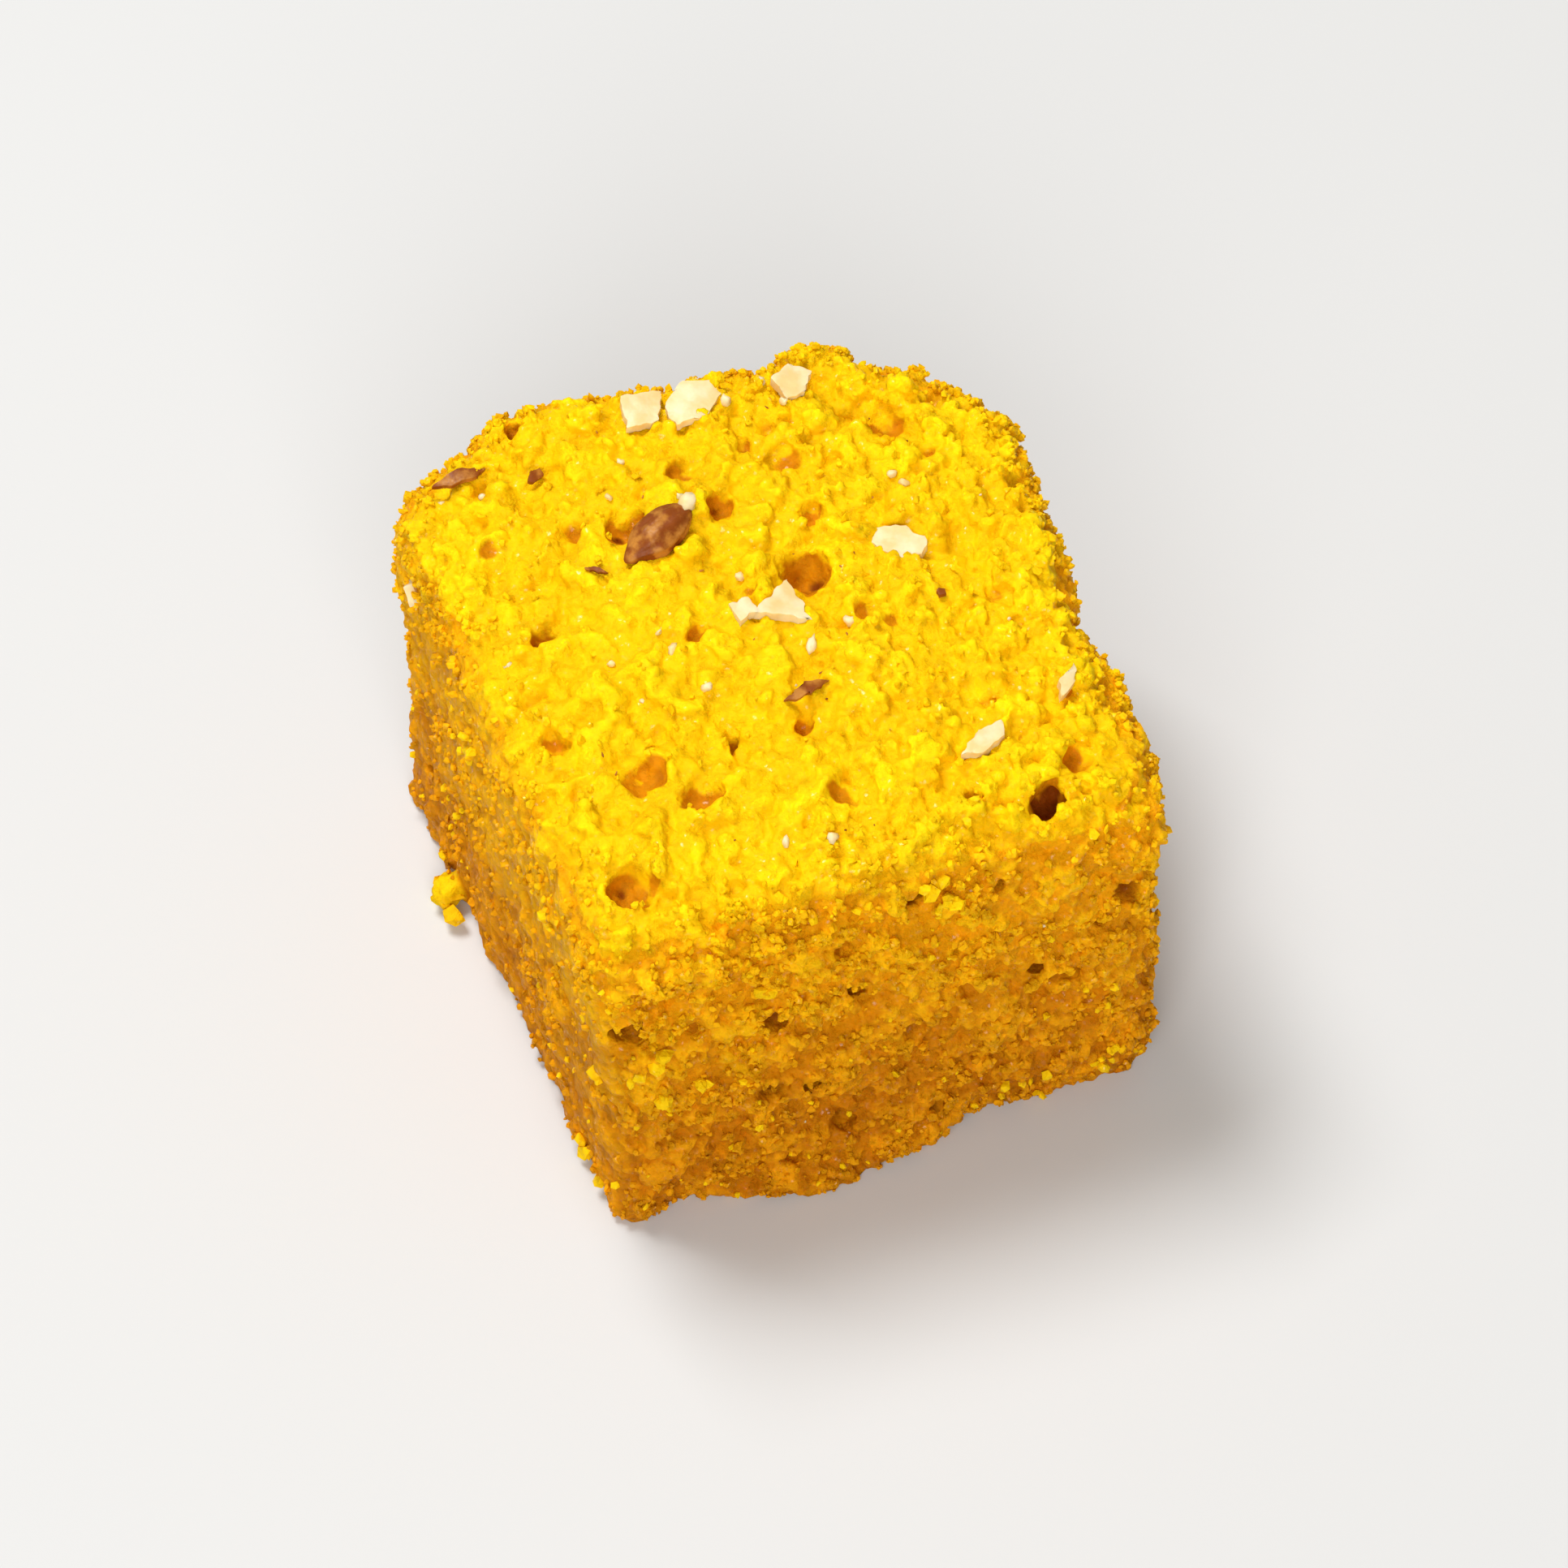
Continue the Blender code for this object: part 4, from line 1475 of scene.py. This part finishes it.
@dataclass
class SkinSpecks(AlmondGranules):
    """The tiny dark specks and fibres of almond skin that are caught in the top."""

    name: str = "skin_specks"
    seed: int = 37
    reach: Span = (0.00012, 0.00020)
    places: tuple[Spot, ...] = ()
    scattered: int = 30
    slenderness: float = 2.2
    least_height: float = 0.034


@dataclass
class NodeBench:
    """A node tree being wired, with short calls for the nodes that it needs."""

    tree: bpy.types.NodeTree

    def node(self, kind: str, inputs: dict | None = None, **settings: object) -> bpy.types.Node:
        """Add a node.

        Args:
            kind: the node's type.
            inputs: for each named or numbered input, a value or the socket to link.
            settings: the node's own settings.

        Returns:
            The node.
        """
        node = self.tree.nodes.new(kind)
        for name, value in settings.items():
            setattr(node, name, value)
        self.feed(node, inputs or {})
        return node

    def feed(self, node: bpy.types.Node, inputs: dict) -> None:
        """Set or link a node's inputs.

        Args:
            node: the node.
            inputs: for each named or numbered input, a value or the socket to link.
        """
        for name, value in inputs.items():
            if isinstance(value, Socket):
                self.tree.links.new(value, node.inputs[name])
            else:
                node.inputs[name].default_value = value

    def ramp(self, value: Socket, low: object, high: float, start: float = 0.0, end: float = 1.0) -> Socket:
        """Turn a range of a value smoothly into another, and give the result's socket."""
        inputs = {"Value": value, "From Min": low, "From Max": high, "To Min": start, "To Max": end}
        return self.node("ShaderNodeMapRange", inputs, interpolation_type="SMOOTHSTEP").outputs["Result"]

    def mix(self, share: Socket, first: object, second: object) -> Socket:
        """Mix two colours, each a value or a socket, by the share of the second."""
        return self.node("ShaderNodeMix", {0: share, 6: first, 7: second}, data_type="RGBA").outputs[2]

    def maths(self, operation: str, first: object, second: object) -> Socket:
        """Work out one value from two, each a number or a socket, and give its socket."""
        return self.node("ShaderNodeMath", {0: first, 1: second}, operation=operation).outputs[0]

    def attribute(self, name: str) -> Socket:
        """Read a value that is stored on the mesh, and give its socket."""
        return self.node("ShaderNodeAttribute", attribute_name=name).outputs["Fac"]

    def noise(self, coordinates: Socket, size: float, detail: float = 3.0) -> Socket:
        """Add noise with features of a size in metres, and give the socket of its value, about 0.5."""
        inputs = {"Vector": coordinates, "Scale": 1.0 / size, "Detail": detail}
        return self.node("ShaderNodeTexNoise", inputs).outputs["Fac"]


class SharedEffects:
    """The node groups that more than one finish uses."""

    def __init__(self) -> None:
        """Build the groups once."""
        self.grain = self.grain_group()
        self.mottle = self.mottle_group()

    @staticmethod
    def new_group(name: str, inputs: dict[str, float | str], outputs: dict[str, str]) -> bpy.types.NodeTree:
        """Start a node group.

        Args:
            name: its name.
            inputs: each input's name, and its default value or its kind.
            outputs: each output's name and kind.

        Returns:
            The group, with its input and output nodes.
        """
        group = bpy.data.node_groups.new(name, "ShaderNodeTree")
        for label, value in inputs.items():
            kind = value if isinstance(value, str) else "Float"
            socket = group.interface.new_socket(label, in_out="INPUT", socket_type="NodeSocket" + kind)
            if kind == "Float":
                socket.default_value = value
        for label, kind in outputs.items():
            group.interface.new_socket(label, in_out="OUTPUT", socket_type="NodeSocket" + kind)
        group.nodes.new("NodeGroupInput")
        group.nodes.new("NodeGroupOutput")
        return group

    def grain_group(self) -> bpy.types.NodeTree:
        """Make the fine grain: rounded grains with pits between, in a height and a speckle mask.

        Returns:
            The group.
        """
        group = self.new_group(
            "fine_grain", {"Place": "Vector", "Grains per Metre": 2500.0, "Pits": 0.5},
            {"Height": "Float", "Speckle": "Float"})
        bench = NodeBench(group)
        place, scale, pits = group.nodes["Group Input"].outputs[:3]
        result = group.nodes["Group Output"]
        inputs = {"Vector": place, "Scale": scale, "Randomness": 1.0}
        grains = bench.node("ShaderNodeTexVoronoi", inputs, feature="SMOOTH_F1")
        coarse = bench.maths("MULTIPLY", scale, 0.38)
        inputs = {"Vector": place, "Scale": coarse, "Detail": 5.0, "Roughness": 0.62}
        rough = bench.node("ShaderNodeTexNoise", inputs).outputs["Fac"]
        rounded = bench.maths("SUBTRACT", 1.0, grains.outputs["Distance"])
        pitted = bench.maths("MULTIPLY", bench.ramp(rough, 0.30, 0.52), pits)
        height = bench.maths("ADD", bench.maths("MULTIPLY", rounded, 0.55), bench.maths("MULTIPLY", rough, 0.7))
        finer = bench.maths("MULTIPLY", scale, 1.7)
        spark = bench.node("ShaderNodeTexVoronoi", {"Vector": place, "Scale": finer})
        tone = bench.node("ShaderNodeSeparateColor", {"Color": spark.outputs["Color"]})
        bench.feed(result, {"Height": bench.maths("ADD", height, pitted), "Speckle": tone.outputs["Red"]})
        return group

    def mottle_group(self) -> bpy.types.NodeTree:
        """Make soft patches of two sizes that lighten and darken a colour.

        Returns:
            The group.
        """
        group = self.new_group(
            "mottle", {"Place": "Vector", "Colour": "Color", "Patches per Metre": 300.0, "Depth": 0.2},
            {"Colour": "Color"})
        bench = NodeBench(group)
        place, colour, scale, depth = group.nodes["Group Input"].outputs[:4]
        inputs = {"Vector": place, "Scale": scale, "Detail": 4.0, "Roughness": 0.6}
        large = bench.node("ShaderNodeTexNoise", inputs).outputs["Fac"]
        inputs = {"Vector": place, "Scale": bench.maths("MULTIPLY", scale, 6.0), "Detail": 3.0}
        small = bench.node("ShaderNodeTexNoise", inputs).outputs["Fac"]
        both = bench.maths("ADD", bench.maths("MULTIPLY", large, 0.6), bench.maths("MULTIPLY", small, 0.4))
        swing = bench.maths("MULTIPLY", bench.maths("SUBTRACT", both, 0.5), depth)
        value = bench.maths("ADD", bench.maths("MULTIPLY", swing, 4.0), 1.0)
        toned = bench.node("ShaderNodeHueSaturation", {"Color": colour, "Value": value})
        bench.feed(group.nodes["Group Output"], {"Colour": toned.outputs["Color"]})
        return group


@dataclass(frozen=True)
class Finish:
    """What every finish has: a mottled colour over a fine grain that is raised as a bump."""

    shared: SharedEffects
    patches: float
    mottling: float
    grains: float
    pits: float
    bump_height: float
    bump_strength: float
    subsurface_method: str = "RANDOM_WALK"

    def make(self, name: str) -> bpy.types.Material:
        """Make the material.

        Args:
            name: its name.

        Returns:
            The material.
        """
        material = bpy.data.materials.new(name)
        material.use_nodes = True
        bench = NodeBench(material.node_tree)
        place = bench.node("ShaderNodeTexCoord").outputs["Object"]
        inputs = {"Place": place, "Colour": self.colour(bench, place), "Patches per Metre": self.patches,
                  "Depth": self.mottling}
        mottle = bench.node("ShaderNodeGroup", inputs, node_tree=self.shared.mottle)
        inputs = {"Place": place, "Grains per Metre": self.grains, "Pits": self.pits}
        grain = bench.node("ShaderNodeGroup", inputs, node_tree=self.shared.grain)
        inputs = {"Height": self.raised(bench, grain.outputs["Height"]), "Distance": self.bump_height,
                  "Strength": self.bump_strength}
        bump = bench.node("ShaderNodeBump", inputs)
        shader = material.node_tree.nodes["Principled BSDF"]
        shader.subsurface_method = self.subsurface_method
        bench.feed(shader, {
            "Base Color": mottle.outputs["Colour"], "Normal": bump.outputs["Normal"],
            **self.sheen(bench, grain.outputs["Speckle"])})
        return material

    def colour(self, bench: NodeBench, place: Socket) -> Socket:
        """Wire the colour before it is mottled, from the place in metres, and give its socket."""
        raise NotImplementedError

    def sheen(self, bench: NodeBench, speckle: Socket) -> dict[str, object]:
        """Give the shader's other inputs, from the grain's speckle mask."""
        raise NotImplementedError

    def raised(self, bench: NodeBench, height: Socket) -> Socket:
        """Give the height that the bump takes, from the grain's height."""
        return height


@dataclass(frozen=True)
class SweetFinish(Finish):
    """The sweet: lemon yellow on top, golden to amber down the cut sides, brown in the bubbles; the sides'
    golden is partly painted shade, and the amber on the lower sides, the darker low colours in the creases and
    the brown in the bubbles are painted shade.
    """

    patches: float = 420.0
    mottling: float = 0.20
    grains: float = 2600.0
    pits: float = 0.5
    bump_height: float = 0.00030
    bump_strength: float = 1.0
    subsurface_method: str = "BURLEY"
    softness: float = 0.75
    # Painted shade: amber on the lower sides, the low colours in the creases and on low crumbs, hollow and deep
    # in the bubbles.
    lemon: Colour = (0.95, 0.65, 0.002, 1.0)
    lemon_low_shade: Colour = (0.88, 0.53, 0.001, 1.0)
    golden: Colour = (0.95, 0.51, 0.002, 1.0)
    golden_low_shade: Colour = (0.78, 0.33, 0.001, 1.0)
    amber: Colour = (0.76, 0.30, 0.002, 1.0)
    amber_low_shade: Colour = (0.52, 0.17, 0.001, 1.0)
    hollow: Colour = (0.62, 0.23, 0.001, 1.0)
    deep: Colour = (0.20, 0.040, 0.001, 1.0)

    def colour(self, bench: NodeBench, place: Socket) -> Socket:
        """Wire the colour: by the share of the top, the height, how proud a crumb is and how deep a bubble,
        which set the painted shade.
        """
        rise, top = bench.attribute("rise"), bench.attribute("top")
        # painted shade: low relief, in the creases between lumps and on low crumbs, takes the darker low
        # colours
        proud = bench.ramp(bench.attribute("relief"), -0.9, 0.5)
        height = bench.node("ShaderNodeSeparateXYZ", {"Vector": place}).outputs["Z"]
        waver = bench.maths("MULTIPLY", bench.maths("SUBTRACT", bench.noise(place, 0.006), 0.5), 0.016)
        # painted shade: the sides darken from golden to amber towards the bottom
        level = bench.ramp(bench.maths("ADD", height, waver), 0.004, 0.030)
        rim = bench.ramp(bench.maths("ADD", height, waver), 0.029, 0.036, 0.0, 0.55)
        golden = bench.mix(proud, self.golden_low_shade, self.golden)
        amber = bench.mix(proud, self.amber_low_shade, self.amber)
        lemon = bench.mix(proud, self.lemon_low_shade, self.lemon)
        # the top's lemon, which also reaches proud bits near the rim, against the sides' golden: partly the
        # sweet's own colour, partly painted shade on the sides
        yellow = bench.maths("MAXIMUM", bench.ramp(top, 0.2, 0.9), bench.maths("MULTIPLY", rim, proud))
        colour = bench.mix(yellow, bench.mix(level, amber, golden), lemon)
        # painted shade in the bubbles: amber-brown, turning dark brown further in
        colour = bench.mix(bench.ramp(rise, -0.35, -0.95), colour, self.hollow)
        colour = bench.mix(bench.ramp(rise, bench.ramp(top, 0.0, 1.0, -0.5, -1.5), -2.2), colour, self.deep)
        return colour

    def raised(self, bench: NodeBench, height: Socket) -> Socket:
        """Calm the grain on the top."""
        return bench.maths("MULTIPLY", height, bench.ramp(bench.attribute("top"), 0.0, 1.0, 1.0, 0.55))

    def sheen(self, bench: NodeBench, speckle: Socket) -> dict[str, object]:
        """Give a dull, soft crumb with a few glints."""
        return {
            "Coat Weight": bench.ramp(speckle, 0.91, 0.97, 0.0, 0.6), "Coat Roughness": 0.22, "Roughness": 0.62,
            "Specular IOR Level": 0.06, "Subsurface Weight": self.softness,
            "Subsurface Radius": (1.0, 0.5, 0.05), "Subsurface Scale": 0.00038}


@dataclass(frozen=True)
class AlmondFinish(Finish):
    """Blanched almond: cream, waxy, a little paler and pinker in patches."""

    patches: float = 700.0
    mottling: float = 0.06
    grains: float = 3200.0
    pits: float = 0.1
    bump_height: float = 0.00004
    bump_strength: float = 0.5
    cream: Colour = (0.82, 0.58, 0.24, 1.0)
    pale: Colour = (0.88, 0.72, 0.43, 1.0)

    def colour(self, bench: NodeBench, place: Socket) -> Socket:
        """Mix the cream and the paler patches."""
        return bench.mix(bench.ramp(bench.noise(place, 0.0022), 0.35, 0.65), self.cream, self.pale)

    def sheen(self, bench: NodeBench, speckle: Socket) -> dict[str, object]:
        """Give a waxy sheen with some light inside."""
        return {
            "Roughness": bench.ramp(speckle, 0.0, 1.0, 0.42, 0.60), "Subsurface Weight": 0.45,
            "Subsurface Radius": (1.0, 0.7, 0.4), "Subsurface Scale": 0.0010}


@dataclass(frozen=True)
class SkinFinish(Finish):
    """Almond skin: dry, ribbed and brown, tan where it is worn."""

    patches: float = 900.0
    mottling: float = 0.18
    grains: float = 4200.0
    pits: float = 0.2
    bump_height: float = 0.00005
    bump_strength: float = 0.35
    brown: Colour = (0.24, 0.055, 0.006, 1.0)
    tan: Colour = (0.50, 0.20, 0.03, 1.0)

    def colour(self, bench: NodeBench, place: Socket) -> Socket:
        """Mix the brown and the worn tan."""
        return bench.mix(bench.ramp(bench.noise(place, 0.0012, 5.0), 0.40, 0.64), self.brown, self.tan)

    def sheen(self, bench: NodeBench, speckle: Socket) -> dict[str, object]:
        """Give a dry sheen."""
        return {"Roughness": bench.ramp(speckle, 0.0, 1.0, 0.34, 0.55), "Specular IOR Level": 0.18}


@dataclass
class Studio:
    """The plain pale floor, the soft light and the camera."""

    camera_place: Vector = field(default_factory=lambda: Vector((-0.06328, -0.28160, 0.40674)))
    camera_aim: Vector = field(default_factory=lambda: Vector((0.00096, -0.00209, 0.01800)))
    camera_roll: float = -4.52
    lens: float = 147.4
    clip_start: float = 0.01
    lights: tuple[tuple[str, Spot, float, float], ...] = (
        ("key", (-0.16, 0.32, 0.82), 0.36, 6.4), ("fill", (-0.20, -0.70, 0.58), 0.60, 5.5))
    light_aim: Spot = (0.0, 0.0, 0.018)
    floor_size: float = 6.0
    floor_drop: float = 0.00005
    floor_roughness: float = 0.85
    floor_colour: Colour = (0.65, 0.66, 0.665, 1.0)
    world_colour: Colour = (1.0, 0.90, 0.77, 1.0)
    world_strength: float = 0.28

    def build(self) -> None:
        """Set up the floor, the light and the camera."""
        self.floor()
        for name, place, size, power in self.lights:
            self.light(name, Vector(place), size, power)
        world = bpy.data.worlds.new("soft_room")
        world.use_nodes = True
        background = world.node_tree.nodes["Background"]
        background.inputs["Color"].default_value = self.world_colour
        background.inputs["Strength"].default_value = self.world_strength
        bpy.context.scene.world = world
        bpy.context.scene.view_settings.view_transform = "Standard"
        self.camera()

    def floor(self) -> None:
        """Lay the floor."""
        builder = bmesh.new()
        bmesh.ops.create_grid(builder, x_segments=1, y_segments=1, size=self.floor_size / 2.0)
        bmesh.ops.translate(builder, vec=(0.0, 0.0, -self.floor_drop), verts=builder.verts)
        floor = make_object("floor", builder)
        material = bpy.data.materials.new("pale_floor")
        material.use_nodes = True
        shader = material.node_tree.nodes["Principled BSDF"]
        shader.inputs["Base Color"].default_value = self.floor_colour
        shader.inputs["Roughness"].default_value = self.floor_roughness
        floor.data.materials.append(material)
        floor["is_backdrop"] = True

    def light(self, name: str, place: Vector, size: float, power: float) -> None:
        """Hang a soft square light that faces the block.

        Args:
            name: its name.
            place: where it hangs.
            size: its side.
            power: its power in watts.
        """
        lamp = bpy.data.lights.new(name, "AREA")
        lamp.size = size
        lamp.energy = power
        hung = bpy.data.objects.new(name, lamp)
        hung.location = place
        hung.rotation_mode = "QUATERNION"
        hung.rotation_quaternion = (Vector(self.light_aim) - place).to_track_quat("-Z", "Y")
        bpy.context.scene.collection.objects.link(hung)

    def camera(self) -> None:
        """Set the camera at the photo's viewing angle."""
        data = bpy.data.cameras.new("camera")
        data.lens = self.lens
        data.clip_start = self.clip_start
        camera = bpy.data.objects.new("camera", data)
        camera.location = self.camera_place
        camera.rotation_mode = "QUATERNION"
        aim = (self.camera_aim - self.camera_place).to_track_quat("-Z", "Y")
        roll = Matrix.Rotation(math.radians(self.camera_roll), 3, "Z").to_quaternion()
        camera.rotation_quaternion = aim @ roll
        bpy.context.scene.collection.objects.link(camera)
        bpy.context.scene.camera = camera


def dress(piece: bpy.types.Object, material: bpy.types.Material, slot: Slot) -> None:
    """Give a piece its material, tie it to the block's body and hide the block's imported part.

    Args:
        piece: the piece.
        material: its material.
        slot: the record's slot that its finish comes from, which is not used.
    """
    piece.data.materials.clear()
    piece.data.materials.append(material)
    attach(piece, "root")
    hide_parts(NODE)
    log.info("%s: %d faces", piece.name, len(piece.data.polygons))


def main() -> None:
    """Build and dress every piece, then the studio."""
    logging.basicConfig(level=logging.INFO, format="%(name)s %(message)s")
    shared = SharedEffects()
    sweet = SweetFinish(shared).make("gram_flour_sweet_finish")
    # the loose crumb has no light inside; its low colours and amber are painted shade, as on the block
    crumb = SweetFinish(
        shared, softness=0.0, lemon=(0.97, 0.62, 0.002, 1.0), lemon_low_shade=(0.92, 0.52, 0.001, 1.0),
        golden=(0.95, 0.50, 0.002, 1.0), golden_low_shade=(0.84, 0.38, 0.001, 1.0),
        amber=(0.80, 0.34, 0.002, 1.0)).make("loose_crumb_finish")
    almond = AlmondFinish(shared).make("blanched_almond_finish")
    skin = SkinFinish(shared).make("almond_skin_finish")

    noise.seed_set(DRIFT_SEED)
    around = Surroundings(CutForm())
    sweet_block = Block(around)
    block = sweet_block.build()
    surface = sweet_block.surface
    dress(block, sweet, Slot.SWEET)
    dress(LooseCrumb(around).build(block), crumb, Slot.SWEET)
    for kind, material, slot in (
        (AlmondFlakes(around, surface), almond, Slot.ALMOND), (AlmondSkins(around, surface), skin, Slot.SKIN),
    ):
        for size in kind.flakes:
            dress(kind.build(size), material, slot)
    dress(AlmondNub(around, surface).build(), skin, Slot.SKIN)
    dress(AlmondGranules(around, surface).build(), almond, Slot.ALMOND)
    dress(SkinSpecks(around, surface).build(), skin, Slot.SKIN)

    Studio().build()
    boxes = {"cad": CAD_BOX, "visual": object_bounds()}
    {name: [list(corner) for corner in box] for name, box in boxes.items()}


if __name__ == "__main__":
    main()
